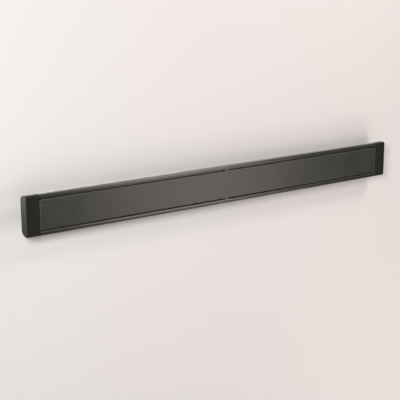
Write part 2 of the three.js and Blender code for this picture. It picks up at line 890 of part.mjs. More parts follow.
function glandNut() {
  const start = collarEnd + seat;
  const outer = glandCollar - glandNutInset;
  const inner = sealEnd + seat;
  return turned(
    [
      [glandNeck + seat, start],
      [outer, start],
      [outer, nutEnd - glandCrownChamfer.along],
      [outer - glandCrownChamfer.across, nutEnd],
      [glandMouth, nutEnd],
      [glandMouth, inner],
      [glandNeck + seat, inner],
      [glandNeck + seat, start],
    ],
    glandSegments,
  );
}

/** A hexagonal nut along Y between two places. */
function nutAlongY(corners, bore, from, to) {
  const hex = new THREE.CylinderGeometry(corners / 2, corners / 2, to - from, 6);
  return carve(
    toSolid(hex.translate(0, (from + to) / 2, 0)),
    rod("y", bore, from - past, to + past, [0, 0]),
  );
}

// ---------------------------------------------------------------- tilting brackets

const clevisHalf = clevisWidth / 2;
const wallEarInner = clevisHalf + slip;
const wallEarOuter = wallEarInner + earThickness;
const pivotHole = m6.shank + screwPlay;

/** An ear from a plate's face to a round end about the pivot. */
function ear(plateY, height, x0, x1) {
  const towardsWall = Math.sign(plateY - pivotY);
  const start = towardsWall > 0 ? Math.PI / 2 : -Math.PI / 2;
  const shape = new THREE.Shape();
  shape.moveTo(plateY, (-towardsWall * height) / 2);
  shape.lineTo(plateY, (towardsWall * height) / 2);
  shape.absarc(pivotY, 0, earRound, start, start + Math.PI, false);
  return prism(shape, x0, x1);
}

/** The fixed half: a plate for the wall with two ears and two upright fixing slots. */
function wallPlate() {
  const plate = box(
    [-wallEarOuter, wallEarOuter],
    [-wallPlateThickness, 0],
    [-wallPlateHeight / 2, wallPlateHeight / 2],
  );
  const root = -wallPlateThickness + lap;
  const ears = sides.map(({ sign }) =>
    ear(root, wallEarHeight, sign * wallEarInner, sign * wallEarOuter),
  );
  const straight = (fixingSlotLength - fixingSlotWidth) / 2;
  const across = [-wallPlateThickness - past, past];
  const slots = rows.map(({ sign }) => {
    const z = sign * fixingSlotHeight;
    return fuse(
      rod("y", fixingSlotWidth / 2, ...across, [0, z - straight]),
      rod("y", fixingSlotWidth / 2, ...across, [0, z + straight]),
      box([-fixingSlotWidth / 2, fixingSlotWidth / 2], across, [z - straight, z + straight]),
    );
  });
  const bore = rod("x", pivotHole, -wallEarOuter - past, wallEarOuter + past, [pivotY, 0]);
  return carve(fuse(plate, ...ears), ...slots, bore);
}

const clevisBack = backY + seat;
const clevisFace = clevisBack + clevisThickness;

/** The moving half: a base on the heater's back with two ears inside the wall plate's. */
function tiltClevis() {
  const base = box(
    [-clevisHalf, clevisHalf],
    [clevisBack, clevisFace],
    [-clevisHeight / 2, clevisHeight / 2],
  );
  const ears = sides.map(({ sign }) =>
    ear(clevisFace - lap, clevisEarHeight, sign * (clevisHalf - earThickness), sign * clevisHalf),
  );
  const bore = rod("x", pivotHole, -clevisHalf - past, clevisHalf + past, [pivotY, 0]);
  const boltHole = rod("y", pivotHole, clevisBack - past, clevisFace + past, [0, 0]);
  return carve(fuse(base, ...ears), bore, boltHole);
}

/** A nut that slides in the housing's rear slot. */
function slideNut() {
  const back = yAt(slotBack) - seat;
  const half = slotWidth / 2 - slip;
  const body = box(
    [-slideNutLength / 2, slideNutLength / 2],
    [back - slideNutThickness, back],
    [-half, half],
  );
  return carve(body, rod("y", pivotHole, back - slideNutThickness - past, back + past, [0, 0]));
}

// ---------------------------------------------------------------- assembly

const heater = new THREE.Group();
heater.add(
  piece("housing_profile", housingProfile(), "coat"),
  piece("emitter_panel", emitterPanel(), "panel"),
  piece("reflector", reflector(), "aluminium"),
  piece("insulation", insulation(), "fibre"),
);

for (const { name: row, sign } of rows) {
  heater.add(
    piece(`centre_clip_${row}`, centreClip(sign), "coat"),
    piece(`heating_element_${row}`, heatingElement(sign), "sheath"),
  );
  for (const [end, leg] of [["inner", legInner], ["outer", legOuter]]) {
    const place = [sealStart, yAt(elementDepth), sign * leg];
    heater.add(piece(`element_seal_${row}_${end}`, elementSeal(), "ceramic", place, headOutward(1)));
  }
}

clampStations.forEach((x, i) => {
  const station = clampSideNames[i];
  heater.add(piece(`element_clamp_${station}`, elementClamp(), "zinc", [x, 0, 0]));
  for (const { name: row, sign } of rows) {
    const place = [x, yAt(clampDepth + clampThickness) + seat, sign * hairpinMiddle];
    const name = `clamp_screw_${station}_${row}`;
    heater.add(piece(name, screw(m4, clampScrewLength), "zinc", place));
  }
});

for (const { name: side, sign } of sides) {
  heater.add(
    piece(`end_plate_${side}`, sign > 0 ? wiringEndPlate() : endPlate(sign), "cast"),
    piece(`end_cap_${side}`, endCap(sign), "cap"),
    piece(`cap_gasket_${side}`, capGasket(sign), "rubber"),
  );
  for (const { name: row, sign: rowSign } of rows) {
    const platePlace = [sign * (plateOuter + seat), yAt(portDepth), rowSign * portHeight];
    const capPlace = [sign * capScrewX, backY + seat, rowSign * capScrewHeight];
    const plateScrew = screw(m4, plateScrewLength);
    heater.add(
      piece(`end_plate_screw_${side}_${row}`, plateScrew, "zinc", platePlace, headOutward(sign)),
      piece(`cap_screw_${side}_${row}`, screw(m4, capScrewLength), "blackSteel", capPlace),
    );
  }
}

const blockScrewPlace = [blockEnd + seat, yAt(blockScrewDepth), blockScrewHeight];
const blockScrewLength = blockSize.along + plateThickness + blockScrewBeyond;
const earthPlace = [plateOuter + ringThickness + 2 * seat, yAt(earthDepth), earthHeight];
heater.add(
  piece("terminal_block", terminalBlock(), "ceramic"),
  piece("terminal_block_screw", screw(m3, blockScrewLength), "zinc", blockScrewPlace, headOutward(1)),
  piece("thermal_cutout", thermalCutout(), "phenolic"),
  piece("earth_screw", screw(m4, earthScrewLength), "zinc", earthPlace, headOutward(1)),
  piece("lead_link", linkLead(), "leadWhite"),
  piece("lead_neutral", neutralLead(), "leadBlue"),
  piece("lead_switched", switchedLead(), "leadWhite"),
  piece("lead_live", liveLead(), "leadBrown"),
  piece("lead_earth", earthLead(), "leadGreen"),
);

const gland = new THREE.Group();
gland.position.set(glandX, backY, 0);
const lockNutBack = wallInside - seat;
const lockNutBore = glandThread + glandPlay;
const lockNut = nutAlongY(2 * glandCollar, lockNutBore, lockNutBack - lockNutHeight, lockNutBack);
gland.add(
  piece("gland_body", glandBody(), "nylon"),
  piece("gland_nut", glandNut(), "nylon"),
  piece("gland_seal", glandSeal(), "rubber"),
  piece("gland_locknut", lockNut, "nylon"),
);
heater.add(gland);

/** The group of one bracket's pieces, placed along the heater. */
function bracket({ name: side, sign }) {
  const group = new THREE.Group();
  group.position.x = (sign * bracketSpacing) / 2;
  const boltHead = wallEarOuter + seat;
  const pivotLength = 2 * wallEarOuter + 2 * seat + hexNut.height + pivotBoltBeyond;
  const nut = nutAlongY(hexNut.acrossCorners, m6.shank + screwPlay, boltHead, boltHead + hexNut.height);
  group.add(
    piece(`wall_plate_${side}`, wallPlate(), "blackSteel"),
    piece(`tilt_clevis_${side}`, tiltClevis(), "blackSteel"),
    piece(`clevis_bolt_${side}`, screw(m6, clevisBoltLength), "zinc", [0, clevisFace + seat, 0]),
    piece(`slide_nut_${side}`, slideNut(), "zinc"),
    piece(
      `pivot_bolt_${side}`,
      screw(m6, pivotLength),
      "zinc",
      [sign * boltHead, pivotY, 0],
      headOutward(sign),
    ),
    piece(`pivot_nut_${side}`, nut, "zinc", [0, pivotY, 0], headOutward(-sign)),
  );
  return group;
}

const infraredHeater = new THREE.Group();
infraredHeater.add(heater, ...sides.map(bracket));

export default infraredHeater;
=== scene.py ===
"""The looks of a wall-hung infrared strip heater: fine shapes and finishes round its fixed frame.

Metres, in the frame's own axes: X along the heater, Y into the wall, Z up. A "depth" is measured
from the heater's front face towards the wall.
"""

import json
import math

import bmesh
import bpy
from mathutils import Matrix, Quaternion, Vector

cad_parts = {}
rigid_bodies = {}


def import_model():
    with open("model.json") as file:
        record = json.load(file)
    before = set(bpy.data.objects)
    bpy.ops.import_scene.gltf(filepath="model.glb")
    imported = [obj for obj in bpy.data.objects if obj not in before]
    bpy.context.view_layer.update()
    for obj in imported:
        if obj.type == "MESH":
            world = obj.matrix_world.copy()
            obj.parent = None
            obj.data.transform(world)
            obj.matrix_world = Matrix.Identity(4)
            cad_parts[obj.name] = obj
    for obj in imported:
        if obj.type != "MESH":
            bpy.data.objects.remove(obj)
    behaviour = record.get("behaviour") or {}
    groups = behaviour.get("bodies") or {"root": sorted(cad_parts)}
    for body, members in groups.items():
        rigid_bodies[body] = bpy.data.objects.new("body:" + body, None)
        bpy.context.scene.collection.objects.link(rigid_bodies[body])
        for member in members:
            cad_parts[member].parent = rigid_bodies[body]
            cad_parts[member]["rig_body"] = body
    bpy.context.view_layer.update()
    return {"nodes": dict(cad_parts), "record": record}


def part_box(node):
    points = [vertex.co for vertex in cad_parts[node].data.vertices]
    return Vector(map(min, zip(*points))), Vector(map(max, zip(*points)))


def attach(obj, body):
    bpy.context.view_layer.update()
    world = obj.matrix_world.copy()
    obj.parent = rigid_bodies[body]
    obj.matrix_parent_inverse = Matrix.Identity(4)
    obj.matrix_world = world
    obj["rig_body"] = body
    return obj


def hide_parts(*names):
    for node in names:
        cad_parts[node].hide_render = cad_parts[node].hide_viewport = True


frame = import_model()

MM = 0.001
SIDES = (("left", -1), ("right", 1))
ROWS = (("upper", 1), ("lower", -1))

# ---------------------------------------------------------------- sizes, from the frame

housing_low, housing_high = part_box("housing_profile")
panel_low, panel_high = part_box("emitter_panel")
FRONT = housing_low.y
BACK = housing_high.y
DEPTH = BACK - FRONT
HALF_HEIGHT = housing_high.z

# Housing section
WALL = 2 * MM
LIP_HEIGHT = 14 * MM
LIP_RETURN = 22 * MM
LIP_SLOPE = (1.9 * MM, 2.6 * MM)  # the lower lip's inner front edge: depth and height
LIP_EDGE = 0.7 * MM  # the upper lip's
NOSE_DEPTH = 3.5 * MM
NOSE_HEIGHT = 5.2 * MM
NOSE_CORNER = 3 * MM  # rounds both corners of the nose's slope
SHOULDER_DEPTH = 27 * MM
SHOULDER_DROP = 14 * MM
SHOULDER_STEPS = 14
SLOT_MOUTH = 9 * MM
SLOT_WIDTH = 17 * MM
SLOT_HEIGHT = 6 * MM
PORT_DEPTH = 12 * MM
PORT_RADIUS = 2.3 * MM
PORT_LAP = 0.2 * MM
OPENING_HALF = HALF_HEIGHT - LIP_HEIGHT
PORT_HEIGHT = (OPENING_HALF + HALF_HEIGHT) / 2

# Panel section
PANEL_HALF = panel_high.z
PANEL_FRONT = panel_low.y - FRONT
PANEL_THICKNESS = 3 * MM
PANEL_ROUND = 1.6 * MM
SHEATH_RADIUS = 4.2 * MM
GROOVE_PLAY = 0.25 * MM
GROOVE_HEIGHT = 5 * MM
GROOVE_MARGIN = 2.75 * MM
GROOVE_TO_SHOE = 0.75 * MM
RIB = 1.8 * MM
SHOE_HALF = 8 * MM
PORT_RIB = 2 * MM
PORT_RIB_HEIGHT = 6 * MM
HOOK_INSET = 4 * MM
HOOK_STEM = 2 * MM
HOOK_LIP = 3.5 * MM
HOOK_GROOVE = 2.5 * MM
RAIL_STEM = 3 * MM
RAIL_STEM_HEIGHT = 7 * MM
RAIL_HEAD = 10 * MM
RAIL_HEAD_HEIGHT = 2.5 * MM
BEND_RADIUS = 12 * MM
BEND_RELIEF = 2 * MM  # the ribs stop this far before the elements' bends
RELIEF_MARGIN = 0.2 * MM
RELIEF_DEPTH = 7 * MM
PANEL_END_EDGE = 0.5 * MM

# Caps, clips and small edges
CAP_WALL = 3 * MM
CAP_EDGE = 1.1 * MM
CAP_SCREW_HOLE = 2.3 * MM
CAP_GLAND_HOLE = 8.6 * MM
CLIP_REACH = 0.3 * MM  # into the lip's edge, and behind its return
CLIP_BRIDGE = 4.7 * MM  # from the clip's face to the back of its bridge
CLIP_LEG = 1.8 * MM
CLIP_HOOK = 3.3 * MM
CLIP_TONGUE = 1.7 * MM
CLIP_GAP = 0.4 * MM  # from the clip's face to the panel's edge
CLIP_EDGE = 0.35 * MM
RIM_EDGE = 0.4 * MM
FINE_EDGE = 0.3 * MM
PAST = 1 * MM  # how far a cutting shape runs past what it cuts
SEAT = 0.3 * MM  # between two pieces that rest on each other
ON_PLANE = MM / 1000  # a point this near to a plane lies on it
DOUBLE = MM / 100  # vertices nearer than this are merged


def at_depth(depth):
    return FRONT + depth


# ---------------------------------------------------------------- shader graphs


class Wire:
    """A shader socket. Python's operators on it add Math nodes to its graph."""

    def __init__(self, graph, socket):
        self.graph = graph
        self.socket = socket

    def math(self, operation, *values):
        inputs = dict(enumerate(values))
        return self.graph.node("ShaderNodeMath", {"operation": operation}, inputs)

    def __add__(self, other):
        return self.math("ADD", self, other)

    __radd__ = __add__

    def __sub__(self, other):
        return self.math("SUBTRACT", self, other)

    def __rsub__(self, other):
        return self.math("SUBTRACT", other, self)

    def __mul__(self, other):
        return self.math("MULTIPLY", self, other)

    __rmul__ = __mul__

    def step(self, low, high):
        """0 below low, 1 above high and smooth between them."""
        settings = {"interpolation_type": "SMOOTHSTEP"}
        inputs = {"Value": self, "From Min": low, "From Max": high}
        return self.graph.node("ShaderNodeMapRange", settings, inputs)


class Graph:
    """The nodes of one material or world."""

    def __init__(self, owner):
        owner.use_nodes = True
        self.tree = owner.node_tree
        self.tree.nodes.clear()

    def node(self, kind, settings=None, inputs=None, output=0):
        """Adds a node: its settings first, then the values or wires of its sockets."""
        made = self.tree.nodes.new(kind)
        for name, value in (settings or {}).items():
            setattr(made, name, value)
        for name, value in (inputs or {}).items():
            if isinstance(value, Wire):
                self.tree.links.new(value.socket, made.inputs[name])
            else:
                made.inputs[name].default_value = value
        return Wire(self, made.outputs[output]) if made.outputs else None

    def place(self, scale=(1, 1, 1)):
        """The point's place in metres, stretched by scale."""
        where = self.node("ShaderNodeTexCoord", output="Object")
        return self.node("ShaderNodeMapping", {}, {"Vector": where, "Scale": scale})

    def axis(self, name):
        """One of the point's coordinates in metres."""
        where = self.node("ShaderNodeTexCoord", output="Object")
        return self.node("ShaderNodeSeparateXYZ", {}, {"Vector": where}, name)

    def edge_of(self, name, half):
        """1 close to a piece's edges, which lie at half and -half on an axis."""
        fade, full = 1.4 * MM, 0.5 * MM
        along = self.axis(name)
        return along.math("ABSOLUTE", along).step(half - fade, half - full)

    def noise(self, where, size, detail=2.0, roughness=0.5):
        """Smooth noise from 0 to 1 whose blotches are about size across."""
        inputs = {"Vector": where, "Scale": 1 / size, "Detail": detail, "Roughness": roughness}
        return self.node("ShaderNodeTexNoise", {}, inputs)

    def blend(self, factor, first, second):
        """A colour between two colours. The Mix node's colour sockets are 6 and 7, and 2 comes out."""
        inputs = {0: factor, 6: first, 7: second}
        return self.node("ShaderNodeMix", {"data_type": "RGBA"}, inputs, 2)

    def bump(self, height, distance, strength=1.0):
        inputs = {"Height": height, "Distance": distance, "Strength": strength}
        return self.node("ShaderNodeBump", {}, inputs)

    def surface(self, inputs):
        """The finished surface shader."""
        shader = self.node("ShaderNodeBsdfPrincipled", {}, inputs)
        self.node("ShaderNodeOutputMaterial", {}, {"Surface": shader})


def rgba(red, green, blue):
    return (red, green, blue, 1.0)


def new_graph(name):
    material = bpy.data.materials.new(name)
    return material, Graph(material)


# ---------------------------------------------------------------- finishes

# Pale dust that also paints light into the shaded lower gap
DUST_AND_GAP_LIGHT = rgba(0.1, 0.098, 0.092)
DUST_AND_LIGHT_HEIGHT = (0.4 * MM, 0.9 * MM)  # how far above and below a ledge the dust and painted light lie: full, then none
# Painted highlight: a pale colour along the emitter's edges, where light would catch them
PAINTED_EDGE_HIGHLIGHT = rgba(0.14, 0.137, 0.13)
# Heat stain, darkened further as painted shade in the vent gaps
STAIN_AND_GAP_SHADE = rgba(0.05, 0.048, 0.043)
STAIN_AND_SHADE_HEIGHT = (50 * MM, 55 * MM)  # the reflector is clean below, and stained and darkened as painted shade above


def powder_coat(name, dark, light, roughness, specular, grain, ledge=None):
    """A baked powder coat: orange peel, a fine grain and cloudiness, with pale dust at a ledge's height
    that also paints light into the shade there.
    """
    material, graph = new_graph(name)
    where = graph.place()
    peel = graph.noise(where, grain, 3.0)
    speck = graph.noise(where, grain / 3, 2.0)
    cloud = graph.noise(where, 60 * MM, 3.0)
    along = graph.noise(graph.place((0.06, 1, 1)), 5 * MM, 2.0)
    tone = cloud * 0.55 + along * 0.25 + speck * 0.2
    colour = graph.blend(tone.step(0.3, 0.7), dark, light)
    gloss = roughness + (cloud - 0.5) * 0.08 + (speck - 0.5) * 0.1
    if ledge:
        # Pale dust on the ledge, which also paints light into the shaded gap above it
        off = graph.axis("Z") - ledge
        dust_and_light = (1 - off.math("ABSOLUTE", off).step(*DUST_AND_LIGHT_HEIGHT)) * (0.7 + speck * 0.6)
        colour = graph.blend(dust_and_light, colour, DUST_AND_GAP_LIGHT)
        gloss = gloss + dust_and_light * 0.4
    inputs = {
        "Base Color": colour,
        "Roughness": gloss,
        "Specular IOR Level": specular,
        "Normal": graph.bump(peel + speck * 0.4, 0.05 * MM, 0.35),
    }
    graph.surface(inputs)
    return material


def body_coat():
    """The housing's dark satin coat."""
    tones = rgba(0.0048, 0.0056, 0.004), rgba(0.008, 0.009, 0.0068)
    gloss = {"roughness": 0.25, "specular": 0.38}
    # The ledge is the lower lip's return, where pale dust also paints light into the gap's shade
    return powder_coat("body_coat", *tones, **gloss, grain=1.6 * MM, ledge=-OPENING_HALF)


def cap_coat():
    """The end caps' flatter black coat."""
    tones = rgba(0.0055, 0.0062, 0.004), rgba(0.0085, 0.0095, 0.0065)
    return powder_coat("cap_coat", *tones, roughness=0.37, specular=0.15, grain=1.2 * MM)


def bracket_coat():
    """The brackets' black coat."""
    tones = rgba(0.012, 0.012, 0.012), rgba(0.02, 0.02, 0.019)
    return powder_coat("bracket_coat", *tones, roughness=0.45, specular=0.4, grain=1.4 * MM)


def panel_coat():
    """The emitter's satin heat-proof coat: a sandy grain, faint marks along it and painted highlights
    along its edges.
    """
    material, graph = new_graph("panel_coat")
    where = graph.place()
    sand = graph.noise(where, 0.7 * MM, 4.0, 0.65)
    cloud = graph.noise(where, 90 * MM, 3.0)
    drawn = graph.noise(graph.place((0.02, 1, 1)), 2.2 * MM, 3.0)
    tone = cloud * 0.45 + drawn * 0.3 + sand * 0.25
    dark = rgba(0.0155, 0.0165, 0.012)
    light = rgba(0.0225, 0.0235, 0.018)
    colour = graph.blend(tone.step(0.32, 0.68), dark, light)
    # Painted highlight along the plate's long edges and its ends, as if light caught them
    long_edge = graph.edge_of("Z", PANEL_HALF)
    edge_highlight = long_edge.math("MAXIMUM", graph.edge_of("X", panel_high.x), long_edge)
    inputs = {
        "Base Color": graph.blend(edge_highlight * (0.6 + cloud * 0.6), colour, PAINTED_EDGE_HIGHLIGHT),
        "Roughness": 0.29 + (cloud - 0.5) * 0.06 + (sand - 0.5) * 0.12,
        "Specular IOR Level": 0.35,
        "Normal": graph.bump(sand + drawn * 0.5, 0.04 * MM, 0.3),
    }
    graph.surface(inputs)
    return material


def plain_metal(name, dark, light, roughness, grain, stretch=(1, 1, 1), metallic=1.0):
    """Bare or plated metal with a grain that may be drawn out along one axis."""
    material, graph = new_graph(name)
    fine = graph.noise(graph.place(stretch), grain, 4.0, 0.6)
    cloud = graph.noise(graph.place(), 25 * MM, 3.0)
    inputs = {
        "Base Color": graph.blend((fine * 0.5 + cloud * 0.5).step(0.3, 0.7), dark, light),
        "Metallic": metallic,
        "Roughness": roughness + (fine - 0.5) * 0.16 + (cloud - 0.5) * 0.1,
        "Normal": graph.bump(fine, 0.03 * MM, 0.3),
    }
    graph.surface(inputs)
    return material


def cast_plate():
    """The end plates' rough casting."""
    tones = rgba(0.36, 0.37, 0.38), rgba(0.46, 0.47, 0.48)
    return plain_metal("cast_plate", *tones, roughness=0.5, grain=0.8 * MM)


def bright_aluminium():
    """The reflector's rolled sheet, tarnished by heat and dust on its flanges by the vent gaps, and
    darkened there as painted shade in the gaps.
    """
    material, graph = new_graph("bright_aluminium")
    rolled = graph.noise(graph.place((0.03, 1, 1)), 1.5 * MM, 4.0, 0.6)
    cloud = graph.noise(graph.place(), 25 * MM, 3.0)
    along = graph.axis("Z")
    height = along.math("ABSOLUTE", along)
    # Painted shade: the flanges behind the vent gaps are darkened with the stain, so the gaps read dark
    stain_and_shade = (height + (cloud - 0.5) * 4 * MM).step(*STAIN_AND_SHADE_HEIGHT)
    bright = graph.blend(rolled.step(0.3, 0.7), rgba(0.74, 0.75, 0.76), rgba(0.84, 0.85, 0.86))
    inputs = {
        "Base Color": graph.blend(stain_and_shade, bright, STAIN_AND_GAP_SHADE),
        "Metallic": 1.0 - stain_and_shade * 0.8,
        "Roughness": 0.2 + (rolled - 0.5) * 0.16 + stain_and_shade * 0.45,
        "Normal": graph.bump(rolled, 0.03 * MM, 0.3),
    }
    graph.surface(inputs)
    return material


def element_sheath():
    """Annealed stainless tube, browned by heat."""
    tones = rgba(0.2, 0.165, 0.13), rgba(0.36, 0.33, 0.3)
    drawn = (0.2, 1, 1)
    return plain_metal("element_sheath", *tones, roughness=0.42, grain=1.1 * MM, stretch=drawn)


def zinc_steel():
    """Bright zinc plate."""
    tones = rgba(0.5, 0.51, 0.52), rgba(0.64, 0.65, 0.66)
    return plain_metal("zinc_steel", *tones, roughness=0.34, grain=0.9 * MM)


def black_steel():
    """The cap screws' black zinc."""
    tones = rgba(0.018, 0.018, 0.018), rgba(0.04, 0.04, 0.042)
    return plain_metal("black_steel", *tones, roughness=0.4, grain=0.9 * MM, metallic=0.6)


def dull(name, dark, light, roughness, grain, depth, specular=0.5):
    """A moulded, fired or felted material: its tone, its gloss and its relief share one grain."""
    material, graph = new_graph(name)
    where = graph.place()
    fine = graph.noise(where, grain, 4.0, 0.6)
    cloud = graph.noise(where, grain * 14, 2.0)
    inputs = {
        "Base Color": graph.blend((fine * 0.6 + cloud * 0.4).step(0.3, 0.7), dark, light),
        "Roughness": roughness + (fine - 0.5) * 0.14,
        "Specular IOR Level": specular,
        "Normal": graph.bump(fine, depth, 0.5),
    }
    graph.surface(inputs)
    return material


def ceramic_fibre():
    """Loose felt."""
    tones = rgba(0.72, 0.69, 0.62), rgba(0.86, 0.84, 0.79)
    felt = {"roughness": 0.95, "grain": 1.5 * MM, "depth": 0.6 * MM, "specular": 0.2}
    return dull("ceramic_fibre", *tones, **felt)


def steatite():
    """Fired ceramic."""
    tones = rgba(0.68, 0.63, 0.52), rgba(0.8, 0.76, 0.67)
    return dull("steatite", *tones, roughness=0.48, grain=0.8 * MM, depth=0.04 * MM)


def cutout_body():
    """Moulded phenolic."""
    tones = rgba(0.03, 0.022, 0.018), rgba(0.055, 0.042, 0.035)
    return dull("cutout_body", *tones, roughness=0.45, grain=0.9 * MM, depth=0.03 * MM)


def gland_nylon():
    """Moulded nylon."""
    tones = rgba(0.012, 0.012, 0.013), rgba(0.022, 0.022, 0.023)
    return dull("gland_nylon", *tones, roughness=0.42, grain=0.6 * MM, depth=0.04 * MM)


def gasket_rubber():
    """Matt rubber."""
    tones = rgba(0.01, 0.01, 0.01), rgba(0.018, 0.018, 0.018)
    rubber = {"roughness": 0.75, "grain": 0.5 * MM, "depth": 0.05 * MM, "specular": 0.3}
    return dull("gasket_rubber", *tones, **rubber)


def lead_sleeve(name, dark, light):
    """A lead's silicone sleeve."""
    return dull(name, dark, light, roughness=0.5, grain=0.7 * MM, depth=0.03 * MM)


def white_lead():
    return lead_sleeve("white_lead", rgba(0.66, 0.64, 0.58), rgba(0.76, 0.74, 0.69))


def blue_lead():
    return lead_sleeve("blue_lead", rgba(0.03, 0.1, 0.3), rgba(0.045, 0.13, 0.37))


def brown_lead():
    return lead_sleeve("brown_lead", rgba(0.12, 0.05, 0.022), rgba(0.17, 0.075, 0.035))


def green_lead():
    """The earth lead's green and yellow stripes."""
    material, graph = new_graph("green_lead")
    settings = {"wave_type": "BANDS", "bands_direction": "DIAGONAL", "wave_profile": "SIN"}
    inputs = {"Vector": graph.place(), "Scale": 60.0, "Distortion": 0.4}
    stripe = graph.node("ShaderNodeTexWave", settings, inputs, "Fac")
    fine = graph.noise(graph.place(), 0.7 * MM, 3.0)
    surface = {
        "Base Color": graph.blend(stripe.step(0.45, 0.55), rgba(0.05, 0.2, 0.04), rgba(0.62, 0.5, 0.03)),
        "Roughness": 0.5 + (fine - 0.5) * 0.1,
        "Normal": graph.bump(fine, 0.03 * MM, 0.4),
    }
    graph.surface(surface)
    return material


FINISHES = {
    "body_coat": body_coat(),
    "panel_coat": panel_coat(),
    "cap_coat": cap_coat(),
    "bracket_coat": bracket_coat(),
    "cast_plate": cast_plate(),
    "bright_aluminium": bright_aluminium(),
    "element_sheath": element_sheath(),
    "zinc_steel": zinc_steel(),
    "black_steel": black_steel(),
    "ceramic_fibre": ceramic_fibre(),
    "steatite": steatite(),
    "cutout_body": cutout_body(),
    "gland_nylon": gland_nylon(),
    "gasket_rubber": gasket_rubber(),
    "white_lead": white_lead(),
    "blue_lead": blue_lead(),
    "brown_lead": brown_lead(),
    "green_lead": green_lead(),
}

SLOT_OF = {part["node"]: part["material_slot"] for part in frame["record"]["subparts"]}


def dress_frame():
    """Every node of the frame gets the finish of its own slot."""
    for name, node in frame["nodes"].items():
        node.data.materials.clear()
        node.data.materials.append(FINISHES[SLOT_OF[name]])


# ---------------------------------------------------------------- modelling by hand


def start(name, add, **settings):
    """Adds a primitive as a new object, with nothing else selected."""
    bpy.ops.object.select_all(action="DESELECT")
    add(**settings)
    piece = bpy.context.object
    piece.name = name
    piece.data.name = name
    bpy.ops.object.transform_apply(location=True, rotation=True, scale=True)
    return piece


def edit(piece):
    """Opens a piece in edit mode with nothing selected in it."""
    bpy.ops.object.select_all(action="DESELECT")
    bpy.context.view_layer.objects.active = piece
    piece.select_set(True)
    bpy.ops.object.mode_set(mode="EDIT")
    bpy.ops.mesh.select_mode(type="VERT")
    bpy.ops.mesh.select_all(action="DESELECT")


def close():
    bpy.ops.object.mode_set(mode="OBJECT")


def pick(piece, kind, test):
    """Selects the faces or edges of a piece in edit mode that pass a test."""
    bpy.ops.mesh.select_mode(type=kind)
    bpy.ops.mesh.select_all(action="DESELECT")
    mesh = bmesh.from_edit_mesh(piece.data)
    for element in mesh.faces if kind == "FACE" else mesh.edges:
        element.select_set(test(element))
    mesh.select_flush_mode()
    bmesh.update_edit_mesh(piece.data)


def face_out():
    """Merges doubles and turns all faces of the mesh being edited outwards."""
    bpy.ops.mesh.select_all(action="SELECT")
    bpy.ops.mesh.remove_doubles(threshold=DOUBLE)
    bpy.ops.mesh.normals_make_consistent(inside=False)


def trace(points, closed=True):
    """Draws a line in the mesh being edited: one vertex is extruded from point to point."""
    bpy.ops.mesh.primitive_plane_add(size=MM, location=points[0])
    bpy.ops.mesh.merge(type="CENTER")
    for here, there in zip(points, points[1:] + points[:1] if closed else points[1:]):
        bpy.ops.mesh.extrude_region_move(TRANSFORM_OT_translate={"value": there - here})
    bpy.ops.mesh.select_all(action="DESELECT")


def solid(name, loops, move):
    """A solid whose closed loops of points on one plane are drawn, filled and extruded by move."""
    piece = start(name, bpy.ops.mesh.primitive_plane_add, size=MM)
    edit(piece)
    bpy.ops.mesh.select_all(action="SELECT")
    bpy.ops.mesh.delete(type="VERT")
    for loop in loops:
        trace(loop)
    bpy.ops.mesh.select_all(action="SELECT")
    bpy.ops.mesh.remove_doubles(threshold=DOUBLE)
    if len(loops) > 1:
        bpy.ops.mesh.fill()
    else:
        bpy.ops.mesh.edge_face_add()
    bpy.ops.mesh.extrude_region_move(TRANSFORM_OT_translate={"value": move})
    face_out()
    close()
    return piece


def extruded(name, loops, start_x, end_x):
    """A bar along X from loops of (depth, height) points."""
    placed = [[Vector((start_x, at_depth(depth), height)) for depth, height in loop] for loop in loops]
    return solid(name, placed, (end_x - start_x, 0, 0))


def pressed(name, loops, start_y, end_y):
    """A plate or bar along Y from loops of (x, height) points."""
    placed = [[Vector((x, start_y, height)) for x, height in loop] for loop in loops]
    return solid(name, placed, (0, end_y - start_y, 0))


def turned(name, profile, steps):
    """A round piece about the Y axis: its (radius, y) profile is drawn and spun."""
    piece = start(name, bpy.ops.mesh.primitive_plane_add, size=MM)
    edit(piece)
    bpy.ops.mesh.select_all(action="SELECT")
    bpy.ops.mesh.delete(type="VERT")
    trace([Vector((radius, y, 0)) for radius, y in profile], closed=False)
    bpy.ops.mesh.select_all(action="SELECT")
    bpy.ops.mesh.spin(steps=steps, angle=2 * math.pi, center=(0, 0, 0), axis=(0, 1, 0))
    face_out()
    close()
    return piece


def moved(piece, turn=0, place=(0, 0, 0)):
    """Turns a piece about Z and moves its origin to a place, in its mesh."""
    piece.data.transform(Matrix.Translation(place) @ Matrix.Rotation(turn, 4, "Z"))
    return piece


def copy_of(piece, name, turn=0, place=(0, 0, 0)):
    """A copy with its own mesh, turned about Z and moved."""
    bpy.ops.object.select_all(action="DESELECT")
    bpy.context.view_layer.objects.active = piece
    piece.select_set(True)
    bpy.ops.object.duplicate()
    copy = bpy.context.object
    copy.name = name
    copy.data.name = name
    return moved(copy, turn, place)


def apply_modifier(piece, kind, **settings):
    """Adds a modifier, sets it and applies it."""
    modifier = piece.modifiers.new(kind.lower(), kind)
    for name, value in settings.items():
        setattr(modifier, name, value)
    bpy.ops.object.select_all(action="DESELECT")
    bpy.context.view_layer.objects.active = piece
    piece.select_set(True)
    bpy.ops.object.modifier_apply(modifier=modifier.name)


def cut(piece, *cutters):
    """Cuts other shapes out of a piece and throws them away."""
    for cutter in cutters:
        apply_modifier(piece, "BOOLEAN", object=cutter, operation="DIFFERENCE", solver="EXACT")
        bpy.data.objects.remove(cutter)


def weld(piece, *others):
    """Joins other solids into a piece as one closed skin."""
    for other in others:
        apply_modifier(piece, "BOOLEAN", object=other, operation="UNION", solver="EXACT")
        bpy.data.objects.remove(other)


